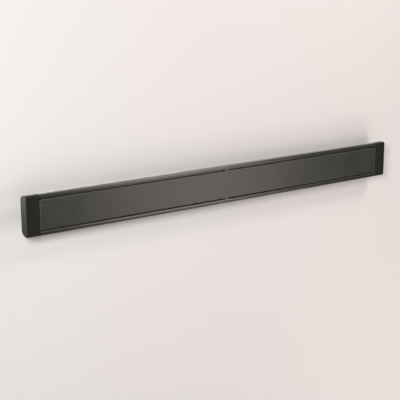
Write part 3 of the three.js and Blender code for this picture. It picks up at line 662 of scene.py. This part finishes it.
def soften(piece, width, segments=2, angle=30):
    """Rounds every edge of a piece that is sharper than angle."""
    settings = {"width": width, "segments": segments, "angle_limit": math.radians(angle)}
    apply_modifier(piece, "BEVEL", limit_method="ANGLE", harden_normals=False, **settings)


def finish(piece, *nodes, smooth=35):
    """Smooths a piece, gives it the finish of the nodes it stands for and lets it ride with them."""
    bpy.ops.object.select_all(action="DESELECT")
    bpy.context.view_layer.objects.active = piece
    piece.select_set(True)
    bpy.ops.object.shade_smooth_by_angle(angle=math.radians(smooth))
    apply_modifier(piece, "WEIGHTED_NORMAL", mode="FACE_AREA", keep_sharp=True)
    slot = SLOT_OF[nodes[0]]
    piece.data.materials.clear()
    piece.data.materials.append(FINISHES[slot])
    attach(piece, frame["nodes"][nodes[0]]["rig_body"])
    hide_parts(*nodes)


def rounded(corners, steps=4):
    """The (depth, height) points of a closed outline of (depth, height, radius) corners."""
    points = []
    for i, (depth, height, radius) in enumerate(corners):
        corner = Vector((depth, height))
        if not radius:
            points.append(corner)
            continue
        before = (Vector(corners[i - 1][:2]) - corner).normalized()
        after = (Vector(corners[(i + 1) % len(corners)][:2]) - corner).normalized()
        half = before.angle(after) / 2
        centre = corner + (before + after).normalized() * (radius / math.sin(half))
        first = corner + before * (radius / math.tan(half)) - centre
        last = corner + after * (radius / math.tan(half)) - centre
        sweep = math.atan2(first.cross(last), first.dot(last))
        for step in range(steps + 1):
            points.append(centre + Matrix.Rotation(sweep * step / steps, 2) @ first)
    return points


def arc(centre, radii, first, last, steps):
    """Corners along an ellipse's arc, between two angles in degrees."""
    corners = []
    for step in range(steps + 1):
        angle = math.radians(first + (last - first) * step / steps)
        corners.append((centre[0] + radii[0] * math.cos(angle), centre[1] + radii[1] * math.sin(angle), 0))
    return corners


def plain_circle(centre, radius, steps=24):
    """A circle's points about a centre."""
    step = 360 / steps
    return rounded(arc(centre, (radius, radius), 0, 360 - step, steps - 1))


def flipped(corners):
    """Corners upside down and in the other order."""
    return [(depth, -height, radius) for depth, height, radius in reversed(corners)]


def mirrored(corners):
    """Corners of the upper half, followed by the same ones upside down."""
    return corners + flipped(corners)


# ---------------------------------------------------------------- housing


def shoulder(inset, steps):
    """The rounded rear shoulder, from the top to the back, moved in by inset."""
    full = (SHOULDER_DEPTH**2 + SHOULDER_DROP**2) / (2 * SHOULDER_DROP)
    radius = full - inset
    last = math.degrees(math.acos((SHOULDER_DEPTH - inset) / radius))
    centre = (DEPTH - SHOULDER_DEPTH, HALF_HEIGHT - full)
    return arc(centre, (radius, radius), 90, last, steps)


def nose(inset):
    """The sloping front of a lip, from its front face to the top, moved in by inset."""
    slope = math.atan2(NOSE_DEPTH, NOSE_HEIGHT)
    low = inset * math.tan(slope / 2)
    high = inset * math.tan((math.radians(90) - slope) / 2)
    corner = NOSE_CORNER - inset
    return [
        (inset, HALF_HEIGHT - NOSE_HEIGHT - low, corner),
        (NOSE_DEPTH + high, HALF_HEIGHT - inset, corner),
    ]


def body_outline():
    """The outline that the housing and the caps share."""
    upper = nose(0) + shoulder(0, SHOULDER_STEPS)
    return rounded(mirrored(upper), 6)


def housing():
    """The extrusion: lips with folded returns, screw ports, rounded shoulders and the rear slot."""
    inner = HALF_HEIGHT - WALL
    web = OPENING_HALF + WALL
    boss = (inner - web) / 2 + PORT_LAP
    meet = math.degrees(math.asin((inner - web) / 2 / boss))  # where the boss meets the walls
    port = (PORT_DEPTH, PORT_HEIGHT)
    slot_back = DEPTH - WALL
    slot_front = slot_back - SLOT_HEIGHT
    floor = slot_front - WALL
    channel = SLOT_WIDTH / 2 + WALL
    edge = FINE_EDGE
    lower_lip = [(LIP_SLOPE[0], OPENING_HALF, edge), (0, OPENING_HALF + LIP_SLOPE[1], edge)]
    upper_lip = [(0, OPENING_HALF, LIP_EDGE)]
    inside = [
        (floor, channel, edge),
        (slot_back, channel, edge),
        *reversed(shoulder(WALL, 10)),
        *arc(port, (boss, boss), meet, -meet, 10),
        (LIP_RETURN, web, edge),
        (LIP_RETURN, OPENING_HALF, edge),
    ]
    outside = nose(0) + shoulder(0, SHOULDER_STEPS)
    mouth = [
        (DEPTH, SLOT_MOUTH / 2, edge),
        (slot_back, SLOT_MOUTH / 2, edge),
        (slot_back, SLOT_WIDTH / 2, edge),
        (slot_front, SLOT_WIDTH / 2, edge),
    ]
    upper = inside + upper_lip + outside + mouth
    lower = flipped(inside + lower_lip + outside + mouth)
    loops = [rounded(upper + lower, 6)]
    cell = [
        *arc(port, (boss, boss), 180 - meet, 180 + meet, 8),
        (WALL, web, edge),
        *nose(WALL),
    ]
    for _, sign in ROWS:
        loops.append([Vector((d, sign * z)) for d, z in rounded(cell)])
        loops.append(plain_circle((PORT_DEPTH, sign * PORT_HEIGHT), PORT_RADIUS))
    piece = extruded("housing", loops, housing_low.x, housing_high.x)
    finish(piece, "housing_profile", smooth=25)


# ---------------------------------------------------------------- emitter panel


def emitter():
    """The emitter's plate with its rounded long edges, and the ribs and rails on its back."""
    back = PANEL_FRONT + PANEL_THICKNESS
    groove = SHEATH_RADIUS + GROOVE_PLAY
    reach = groove + RIB
    stem = PANEL_HALF - HOOK_INSET - HOOK_STEM
    inner_leg = SHOE_HALF + GROOVE_TO_SHOE + reach
    outer_leg = stem - GROOVE_MARGIN - reach
    middle = (inner_leg + outer_leg) / 2
    head = back + RAIL_STEM_HEIGHT
    edge = FINE_EDGE
    corners = [
        (head + RAIL_HEAD_HEIGHT, RAIL_HEAD / 2, edge),
        (head, RAIL_HEAD / 2, edge),
        (head, RAIL_STEM / 2, edge),
        (back, RAIL_STEM / 2, edge),
    ]
    ribs = [
        (inner_leg - reach, RIB, GROOVE_HEIGHT),
        (inner_leg + groove, RIB, GROOVE_HEIGHT),
        (middle - PORT_RADIUS - PORT_RIB, PORT_RIB, PORT_RIB_HEIGHT),
        (middle + PORT_RADIUS, PORT_RIB, PORT_RIB_HEIGHT),
        (outer_leg - reach, RIB, GROOVE_HEIGHT),
        (outer_leg + groove, RIB, GROOVE_HEIGHT),
    ]
    for near, thickness, height in ribs:
        corners += [
            (back, near, edge),
            (back + height, near, edge),
            (back + height, near + thickness, edge),
            (back, near + thickness, edge),
        ]
    hook = back + HOOK_GROOVE
    corners += [
        (back, stem, edge),
        (hook + HOOK_STEM, stem, edge),
        (hook + HOOK_STEM, stem + HOOK_STEM + HOOK_LIP, edge),
        (hook, stem + HOOK_STEM + HOOK_LIP, edge),
        (hook, stem + HOOK_STEM, edge),
        (back, stem + HOOK_STEM, edge),
        (back, PANEL_HALF, edge),
        (PANEL_FRONT, PANEL_HALF, PANEL_ROUND),
    ]
    loop = rounded(mirrored(corners), 6)
    piece = extruded("emitter", [loop], panel_low.x, panel_high.x)
    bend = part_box("heating_element_upper")[0].x + SHEATH_RADIUS + BEND_RADIUS
    low = inner_leg - reach - RELIEF_MARGIN
    high = outer_leg + reach + RELIEF_MARGIN
    deep = back + RELIEF_DEPTH
    for _, sign in ROWS:
        section = [(back, low), (back, high), (deep, high), (deep, low)]
        loop = [Vector((depth, sign * height)) for depth, height in section]
        cut(piece, extruded("relief", [loop], panel_low.x - PAST, bend + BEND_RELIEF))
    edit(piece)

    def end_edge(edge_here):
        """An edge of the plate's front half at either end."""
        ends = [v.co for v in edge_here.verts]
        at_end = all(abs(abs(p.x) - panel_high.x) < ON_PLANE for p in ends)
        return at_end and all(p.y < at_depth(back - PANEL_END_EDGE) for p in ends)

    pick(piece, "EDGE", end_edge)
    bpy.ops.mesh.bevel(offset=PANEL_END_EDGE, segments=2, affect="EDGES")
    close()
    finish(piece, "emitter_panel", smooth=25)


# ---------------------------------------------------------------- end caps and clips


def end_cap(side, sign):
    """A cast cap: the shared outline, drawn out to the end, its rim inset and its inside pulled in."""
    low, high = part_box(f"end_cap_{side}")
    rim = low.x if sign > 0 else high.x
    end = high.x if sign > 0 else low.x
    piece = extruded(f"cap_{side}", [body_outline()], rim, end)
    edit(piece)
    pick(piece, "FACE", lambda f: abs(f.calc_center_median().x - rim) < ON_PLANE)
    bpy.ops.mesh.inset(thickness=CAP_WALL)
    inward = end - sign * CAP_WALL - rim
    bpy.ops.mesh.extrude_region_move(TRANSFORM_OT_translate={"value": (inward, 0, 0)})
    face_out()

    pick(piece, "EDGE", lambda e: ring_edge(e, end))
    bpy.ops.mesh.bevel(offset=CAP_EDGE, segments=4, affect="EDGES")
    pick(piece, "EDGE", lambda e: ring_edge(e, rim))
    bpy.ops.mesh.bevel(offset=RIM_EDGE, segments=2, affect="EDGES")
    close()
    holes = [(f"cap_screw_{side}_{row}", CAP_SCREW_HOLE) for row, _ in ROWS]
    if sign > 0:
        holes.append(("gland_body", CAP_GLAND_HOLE))
    for node, radius in holes:
        near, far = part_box(node)
        circle = plain_circle(((near.x + far.x) / 2, (near.z + far.z) / 2), radius)
        cut(piece, pressed("hole", [circle], BACK - CAP_WALL - PAST, BACK + PAST))
    finish(piece, f"end_cap_{side}", smooth=30)


def ring_edge(edge, x):
    """True for an edge on the plane at x where the shape turns sharply."""
    flat = all(abs(v.co.x - x) < ON_PLANE for v in edge.verts)
    return flat and len(edge.link_faces) == 2 and edge.calc_face_angle() > math.radians(60)


def centre_clip(row, sign):
    """The small tab that bridges the gap at mid-length, with its hook behind the lip."""
    low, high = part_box(f"centre_clip_{row}")
    front = low.y - FRONT
    face = OPENING_HALF - CLIP_REACH
    leg = LIP_RETURN + CLIP_REACH
    hook = face + CLIP_HOOK
    tongue = min(abs(low.z), abs(high.z))
    bridge = front + CLIP_BRIDGE
    edge = PANEL_HALF + CLIP_GAP
    corners = [
        (front, edge, 0.4 * MM),
        (front, face, 0.4 * MM),
        (leg, face, 0.2 * MM),
        (leg, hook, FINE_EDGE),
        (leg + CLIP_LEG, hook, FINE_EDGE),
        (leg + CLIP_LEG, face - CLIP_LEG, 0.5 * MM),
        (bridge, face - CLIP_LEG, 0.5 * MM),
        (bridge, tongue, FINE_EDGE),
        (bridge - CLIP_TONGUE, tongue, FINE_EDGE),
        (bridge - CLIP_TONGUE, edge, FINE_EDGE),
    ]
    loop = [Vector((depth, sign * height)) for depth, height in rounded(corners, 3)]
    piece = extruded(f"clip_{row}", [loop], low.x, high.x)
    edit(piece)
    for x in (low.x, high.x):
        pick(piece, "EDGE", lambda e: ring_edge(e, x))
        bpy.ops.mesh.bevel(offset=CLIP_EDGE, segments=2, affect="EDGES")
    close()
    finish(piece, f"centre_clip_{row}", smooth=30)


# ---------------------------------------------------------------- screws and bolts


def hexagon(radius):
    """The corners of a hexagon, of which two lie along the first axis."""
    angles = [math.radians(corner * 60) for corner in range(6)]
    return [(radius * math.cos(angle), radius * math.sin(angle)) for angle in angles]


def screw(name, shank, head, head_height, socket, length):
    """A socket screw about Y with the underside of its head at 0 and its shank down Y."""
    tip = 0.12 * shank  # the chamfer at the shank's end
    rim = 0.12 * head  # the head's rounding
    profile = [
        (0, -length),
        (shank - tip, -length),
        (shank, tip - length),
        (shank, 0),
        (head - 0.3 * rim, 0),
        (head, 0.3 * rim),
        (head, head_height - 2 * rim),
        (head - 0.35 * rim, head_height - rim),
        (head - 1.2 * rim, head_height - 0.3 * rim),
        (head - 2.2 * rim, head_height),
        (0, head_height),
    ]
    piece = turned(name, profile, 32)
    cut(piece, pressed("key", [hexagon(socket)], 0.35 * head_height, head_height + PAST))
    soften(piece, 0.12 * MM, 1, 40)
    return piece


M4 = {"shank": 2 * MM, "head": 3.6 * MM, "head_height": 2.4 * MM, "socket": 1.5 * MM}
M6 = {"shank": 3 * MM, "head": 5.25 * MM, "head_height": 3.3 * MM, "socket": 2.3 * MM}
CAP_SCREW_LENGTH = 7 * MM


def cap_screws():
    """The four screws that hold the caps, from behind."""
    first = screw("screw_pattern", **M4, length=CAP_SCREW_LENGTH)
    for side, _ in SIDES:
        for row, _ in ROWS:
            low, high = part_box(f"cap_screw_{side}_{row}")
            place = ((low.x + high.x) / 2, BACK + SEAT, (low.z + high.z) / 2)
            finish(copy_of(first, f"screw_{side}_{row}", 0, place), f"cap_screw_{side}_{row}")
    bpy.data.objects.remove(first)


# ---------------------------------------------------------------- tilting brackets

PIVOT_Y = -20 * MM
PIVOT_DEPTH = PIVOT_Y - FRONT
EAR_ROUND = 9 * MM
EAR = 3 * MM
PLATE = 3 * MM
PLATE_HALF_HEIGHT = 45 * MM
PLATE_CORNER = 4 * MM
PLATE_EAR_ROOT = 18 * MM  # half the height of an ear where it leaves the plate
CLEVIS_HALF = 13.5 * MM
CLEVIS_HALF_HEIGHT = 25 * MM
CLEVIS_EAR_ROOT = 15 * MM
EAR_PLAY = 0.4 * MM
WALL_EAR_INNER = CLEVIS_HALF + EAR_PLAY
WALL_EAR_OUTER = WALL_EAR_INNER + EAR
PRESSED_EDGE = 0.4 * MM
BOLT_HOLE = 3.3 * MM
LAP = 0.5 * MM  # how far welded shapes run into each other
FIXING_HEIGHT = 32 * MM  # of a fixing slot's middle, above and below the pivot
FIXING_RADIUS = 3.5 * MM
NUT_RADIUS = 5.75 * MM
NUT_HEIGHT = 5 * MM
NUT_CHAMFER = 0.7 * MM
BOLT_BEYOND = 1 * MM  # how far a pivot bolt shows past its nut
CLEVIS_BOLT_LENGTH = 10.8 * MM


def rounded_plate(half_width, half_height, radius):
    """The (x, height) points of a plate's outline with rounded corners."""
    corners = [(half_width, half_height), (-half_width, half_height)]
    corners += [(-half_width, -half_height), (half_width, -half_height)]
    return rounded([(x, z, radius) for x, z in corners], 5)


def ear(root, half_root, towards_wall, start_x, end_x):
    """An ear from a plate to a round end about the pivot, with the pivot's hole."""
    last = -90 if towards_wall else 270
    round_end = arc((PIVOT_DEPTH, 0), (EAR_ROUND, EAR_ROUND), 90, last, 16)
    outline = rounded([(root, -half_root, 0), (root, half_root, 0), *round_end])
    return extruded("ear", [outline, plain_circle((PIVOT_DEPTH, 0), BOLT_HOLE)], start_x, end_x)


def wall_plate():
    """The fixed half: a plate with rounded corners, two upright slots and two ears."""
    slots = []
    for _, sign in ROWS:
        middle = sign * FIXING_HEIGHT
        round_end = (FIXING_RADIUS, FIXING_RADIUS)
        top = arc((0, middle + FIXING_RADIUS), round_end, 0, 180, 12)
        bottom = arc((0, middle - FIXING_RADIUS), round_end, 180, 360, 12)
        slots.append(rounded(top + bottom))
    outline = rounded_plate(WALL_EAR_OUTER, PLATE_HALF_HEIGHT, PLATE_CORNER)
    piece = pressed("wall_plate", [outline, *slots], -PLATE, 0)
    root = -PLATE + LAP - FRONT
    for _, sign in SIDES:
        weld(piece, ear(root, PLATE_EAR_ROOT, False, sign * WALL_EAR_INNER, sign * WALL_EAR_OUTER))
    soften(piece, PRESSED_EDGE, 2, 50)
    return piece


def tilt_clevis():
    """The moving half: a base bolted to the heater's back, with two ears inside the plate's."""
    near = BACK + SEAT
    face = near + PLATE
    outline = rounded_plate(CLEVIS_HALF, CLEVIS_HALF_HEIGHT, PLATE_CORNER)
    piece = pressed("tilt_clevis", [outline, plain_circle((0, 0), BOLT_HOLE)], near, face)
    root = face - LAP - FRONT
    for _, sign in SIDES:
        weld(piece, ear(root, CLEVIS_EAR_ROOT, True, sign * (CLEVIS_HALF - EAR), sign * CLEVIS_HALF))
    soften(piece, PRESSED_EDGE, 2, 50)
    return piece


def hex_nut():
    """The pivot's nut about Y, from 0 to its height, with chamfered corners."""
    loops = [hexagon(NUT_RADIUS), plain_circle((0, 0), BOLT_HOLE)]
    piece = pressed("nut_pattern", loops, 0, NUT_HEIGHT)
    flat = NUT_RADIUS * 0.866  # from the middle to a flat
    barrel = [
        (0, 0),
        (flat, 0),
        (NUT_RADIUS, NUT_CHAMFER),
        (NUT_RADIUS, NUT_HEIGHT - NUT_CHAMFER),
        (flat, NUT_HEIGHT),
        (0, NUT_HEIGHT),
    ]
    round_bar = turned("barrel", barrel, 32)
    apply_modifier(piece, "BOOLEAN", object=round_bar, operation="INTERSECT", solver="EXACT")
    bpy.data.objects.remove(round_bar)
    soften(piece, 0.15 * MM, 1, 40)
    return piece


def brackets():
    """Both brackets with their bolts and nuts. Each piece is made once and copied."""
    plate = wall_plate()
    clevis = tilt_clevis()
    head = WALL_EAR_OUTER + SEAT
    base = BACK + 2 * SEAT + PLATE
    pivot = screw("pivot_pattern", **M6, length=2 * head + NUT_HEIGHT + BOLT_BEYOND)
    short = screw("clevis_bolt_pattern", **M6, length=CLEVIS_BOLT_LENGTH)
    nut = hex_nut()
    turn = math.radians(90)
    for side, sign in SIDES:
        low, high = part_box(f"wall_plate_{side}")
        x = (low.x + high.x) / 2
        place = (x, 0, 0)
        finish(copy_of(plate, f"plate_{side}", 0, place), f"wall_plate_{side}")
        finish(copy_of(clevis, f"clevis_{side}", 0, place), f"tilt_clevis_{side}")
        bolt = copy_of(pivot, f"pivot_{side}", -sign * turn, (x + sign * head, PIVOT_Y, 0))
        finish(bolt, f"pivot_bolt_{side}")
        far = copy_of(nut, f"nut_{side}", sign * turn, (x - sign * head, PIVOT_Y, 0))
        finish(far, f"pivot_nut_{side}")
        finish(copy_of(short, f"bolt_{side}", 0, (x, base, 0)), f"clevis_bolt_{side}")
    for pattern in (plate, clevis, pivot, short, nut):
        bpy.data.objects.remove(pattern)


# ---------------------------------------------------------------- cable gland

# Radii, then places along Y from the cap's back
COLLAR = 11 * MM
COLLAR_FLAT = 9.7 * MM
THREAD = 8 * MM
NECK = 7.5 * MM
GLAND_BORE = 4.8 * MM
DOME = 10.5 * MM
DOME_MOUTH = 4.2 * MM
COLLAR_END = 5 * MM
NECK_END = COLLAR_END + 6 * MM
DOME_START = COLLAR_END + SEAT
DOME_END = DOME_START + 12.7 * MM
GLAND_STEPS = 48
GRIP_EVERY = 3  # one of so many faces round the nut is pressed in


def gland_collar(inner_end):
    """The gland's hexagonal collar, with its thread through the cap and its neck behind it."""
    profile = [
        (GLAND_BORE, inner_end),
        (THREAD, inner_end),
        (THREAD, SEAT),
        (COLLAR - 0.4 * MM, SEAT),
        (COLLAR, SEAT + 0.6 * MM),
        (COLLAR, COLLAR_END - 0.9 * MM),
        (COLLAR - 0.9 * MM, COLLAR_END),
        (NECK, COLLAR_END),
        (NECK, NECK_END),
        (GLAND_BORE, NECK_END),
        (GLAND_BORE, inner_end),
    ]
    body = turned("gland_collar", profile, GLAND_STEPS)
    edit(body)
    for angle in range(0, 360, 60):
        normal = Vector((math.cos(math.radians(angle)), 0, math.sin(math.radians(angle))))
        bpy.ops.mesh.select_all(action="SELECT")
        settings = {"use_fill": True, "clear_outer": True, "threshold": ON_PLANE}
        bpy.ops.mesh.bisect(plane_co=normal * COLLAR_FLAT, plane_no=normal, **settings)
    close()
    return body


def grip(face):
    """True for the faces of the domed nut's straight side that its grips press in."""
    centre = face.calc_center_median()
    radius = math.hypot(centre.x, centre.z)
    around = math.degrees(math.atan2(centre.z, centre.x)) % 360
    sector = int(around / (360 / GLAND_STEPS))
    tall = max(v.co.y for v in face.verts) - min(v.co.y for v in face.verts)
    return radius > DOME * 0.98 and tall > 4 * MM and sector % GRIP_EVERY == 0


def gland_dome():
    """The gland's domed nut, with grips round its side and a bore for a cord."""
    bore = NECK + SEAT
    inner = DOME_END - 3 * MM + SEAT
    profile = [
        (bore, DOME_START),
        (DOME - 0.3 * MM, DOME_START),
        (DOME, DOME_START + 0.3 * MM),
        (DOME, DOME_START + 1.2 * MM),
        (DOME, DOME_END - 4.2 * MM),
        (DOME - 0.5 * MM, DOME_END - 2.8 * MM),
        (DOME - 1.4 * MM, DOME_END - 1.4 * MM),
        (DOME - 2.8 * MM, DOME_END - 0.4 * MM),
        (DOME - 4.4 * MM, DOME_END),
        (DOME_MOUTH + 0.4 * MM, DOME_END),
        (DOME_MOUTH, DOME_END - 0.4 * MM),
        (DOME_MOUTH, inner),
        (bore, inner),
        (bore, DOME_START),
    ]
    nut = turned("gland_dome", profile, GLAND_STEPS)
    edit(nut)
    pick(nut, "FACE", grip)
    bpy.ops.mesh.inset(thickness=0.15 * MM, depth=-0.5 * MM, use_individual=True)
    close()
    return nut


def gland():
    """The cable gland on the right cap's back."""
    low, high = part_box("gland_body")
    place = ((low.x + high.x) / 2, BACK, 0)
    finish(moved(gland_collar(low.y - BACK), 0, place), "gland_body", smooth=25)
    finish(moved(gland_dome(), 0, place), "gland_nut", smooth=30)


# ---------------------------------------------------------------- stage, light and camera

FLOOR_DROP = 1.8
FLOOR_SIZE = 16
WALL_SIZE = 14
WALL_GAP = 0.5 * MM  # behind the wall plates, so that no faces share a plane
FILL = 0.06  # the strength of the room's own light


def pale_paint(name, dark, light):
    """Plain matt paint that shows only from its front."""
    material, graph = new_graph(name)
    cloud = graph.noise(graph.place(), 0.4, 2.0)
    inputs = {"Base Color": graph.blend(cloud, dark, light), "Roughness": 0.9, "Specular IOR Level": 0.1}
    paint = graph.node("ShaderNodeBsdfPrincipled", {}, inputs)
    clear = graph.node("ShaderNodeBsdfTransparent")
    behind = graph.node("ShaderNodeNewGeometry", output="Backfacing")
    shown = graph.node("ShaderNodeMixShader", {}, {0: behind, 1: paint, 2: clear})
    graph.node("ShaderNodeOutputMaterial", {}, {"Surface": shown})
    return material


def floor():
    """A plain pale floor, well below the heater."""
    location = (0, 0, -FLOOR_DROP)
    piece = start("floor", bpy.ops.mesh.primitive_plane_add, size=FLOOR_SIZE, location=location)
    paint = pale_paint("floor_paint", rgba(0.825, 0.8, 0.785), rgba(0.84, 0.815, 0.8))
    piece.data.materials.append(paint)


def wall():
    """A plain pale wall that changes no light: only the camera sees it, and from the front."""
    sheet = {
        "size": WALL_SIZE,
        "location": (0, WALL_GAP, WALL_SIZE / 2 - FLOOR_DROP),
        "rotation": (math.radians(90), 0, 0),
    }
    piece = start("wall", bpy.ops.mesh.primitive_plane_add, **sheet)
    paint = pale_paint("wall_paint", rgba(0.765, 0.742, 0.728), rgba(0.78, 0.757, 0.743))
    piece.data.materials.append(paint)
    for ray in ("diffuse", "glossy", "transmission", "shadow", "volume_scatter"):
        setattr(piece, f"visible_{ray}", False)


def lamp(name, place, aim, size, radiance, colour=(1, 1, 1)):
    """A soft box: an area lamp of a size, width first, and a radiance, turned towards aim."""
    width, height = size
    light = bpy.data.lights.new(name, "AREA")
    light.shape = "RECTANGLE"
    light.color = colour
    light.size = width
    light.size_y = height
    light.energy = radiance * math.pi * width * height
    holder = bpy.data.objects.new(name, light)
    bpy.context.scene.collection.objects.link(holder)
    holder.location = place
    holder.rotation_mode = "QUATERNION"
    holder.rotation_quaternion = (Vector(aim) - Vector(place)).to_track_quat("-Z", "Y")
    holder.visible_camera = False


def lights():
    """Soft boxes in front for the face, the edges and the left end, and weak ones behind."""
    middle = (0, FRONT, 0)
    warm = (1, 0.9, 0.87)
    level = (0, FRONT, -0.75)
    left_end = (-0.87, -0.06, 0)
    lamp("front_softbox", (1.92, -3.1, -0.75), level, size=(1.35, 1.7), radiance=4.2, colour=warm)
    lamp("overhead_softbox", (1.2, -1.5, 1.92), middle, size=(1.0, 0.7), radiance=11.0, colour=warm)
    lamp("key_softbox", (-2.8, -2.8, 1.37), middle, size=(1.0, 1.06), radiance=36.0)
    lamp("low_softbox", (1.35, -1.2, -1.35), middle, size=(0.9, 0.7), radiance=2.5, colour=warm)
    lamp("back_softbox", (1.8, 2.6, 1.6), middle, size=(2.6, 1.2), radiance=0.8)
    lamp("end_softbox", (-1.4, 0.6, 0.2), left_end, size=(0.6, 0.6), radiance=3.4)
    lamp("rear_softbox", (-1.6, 2.8, 0.3), middle, size=(2.4, 2.0), radiance=2.5)
    lamp("behind_softbox", (0.4, 3.0, -0.5), middle, size=(2.6, 1.2), radiance=6.0)


def surroundings():
    """A pale room: what the camera and reflections see, and a softer fill."""
    world = bpy.data.worlds.new("room")
    bpy.context.scene.world = world
    graph = Graph(world)
    seen = graph.node("ShaderNodeLightPath", output="Is Camera Ray")
    for kind in ("Is Glossy Ray", "Is Transmission Ray"):
        seen = seen + graph.node("ShaderNodeLightPath", output=kind)
    fill = graph.node("ShaderNodeBackground", {}, {"Color": rgba(1, 0.99, 0.98), "Strength": FILL})
    shown = graph.node("ShaderNodeBackground", {}, {"Color": rgba(0.86, 0.835, 0.82), "Strength": 1.0})
    mixed = graph.node("ShaderNodeMixShader", {}, {0: seen, 1: fill, 2: shown})
    graph.node("ShaderNodeOutputWorld", {}, {"Surface": mixed})


CAMERA_PLACE = (-2.318, -3.190, 0.894)
CAMERA_AZIMUTH = -35.14
CAMERA_ELEVATION = 13.88
CAMERA_ROLL = -0.29
CAMERA_LENS = 89.7
SENSOR_WIDTH = 36


def camera():
    """The photograph's viewpoint."""
    data = bpy.data.cameras.new("camera")
    data.lens = CAMERA_LENS
    data.sensor_width = SENSOR_WIDTH
    holder = bpy.data.objects.new("camera", data)
    bpy.context.scene.collection.objects.link(holder)
    bpy.context.scene.camera = holder
    around = math.radians(CAMERA_AZIMUTH)
    above = math.radians(CAMERA_ELEVATION)
    flat = math.cos(above)
    back = Vector((math.sin(around) * flat, -math.cos(around) * flat, math.sin(above)))
    roll = Quaternion((0, 0, 1), math.radians(CAMERA_ROLL))
    holder.location = CAMERA_PLACE
    holder.rotation_mode = "QUATERNION"
    holder.rotation_quaternion = (-back).to_track_quat("-Z", "Y") @ roll


# ---------------------------------------------------------------- the whole

bpy.context.scene.view_settings.view_transform = "Standard"
camera()
surroundings()
lights()
floor()
wall()
dress_frame()
housing()
emitter()
for side_name, side_sign in SIDES:
    end_cap(side_name, side_sign)
for row_name, row_sign in ROWS:
    centre_clip(row_name, row_sign)
cap_screws()
brackets()
gland()
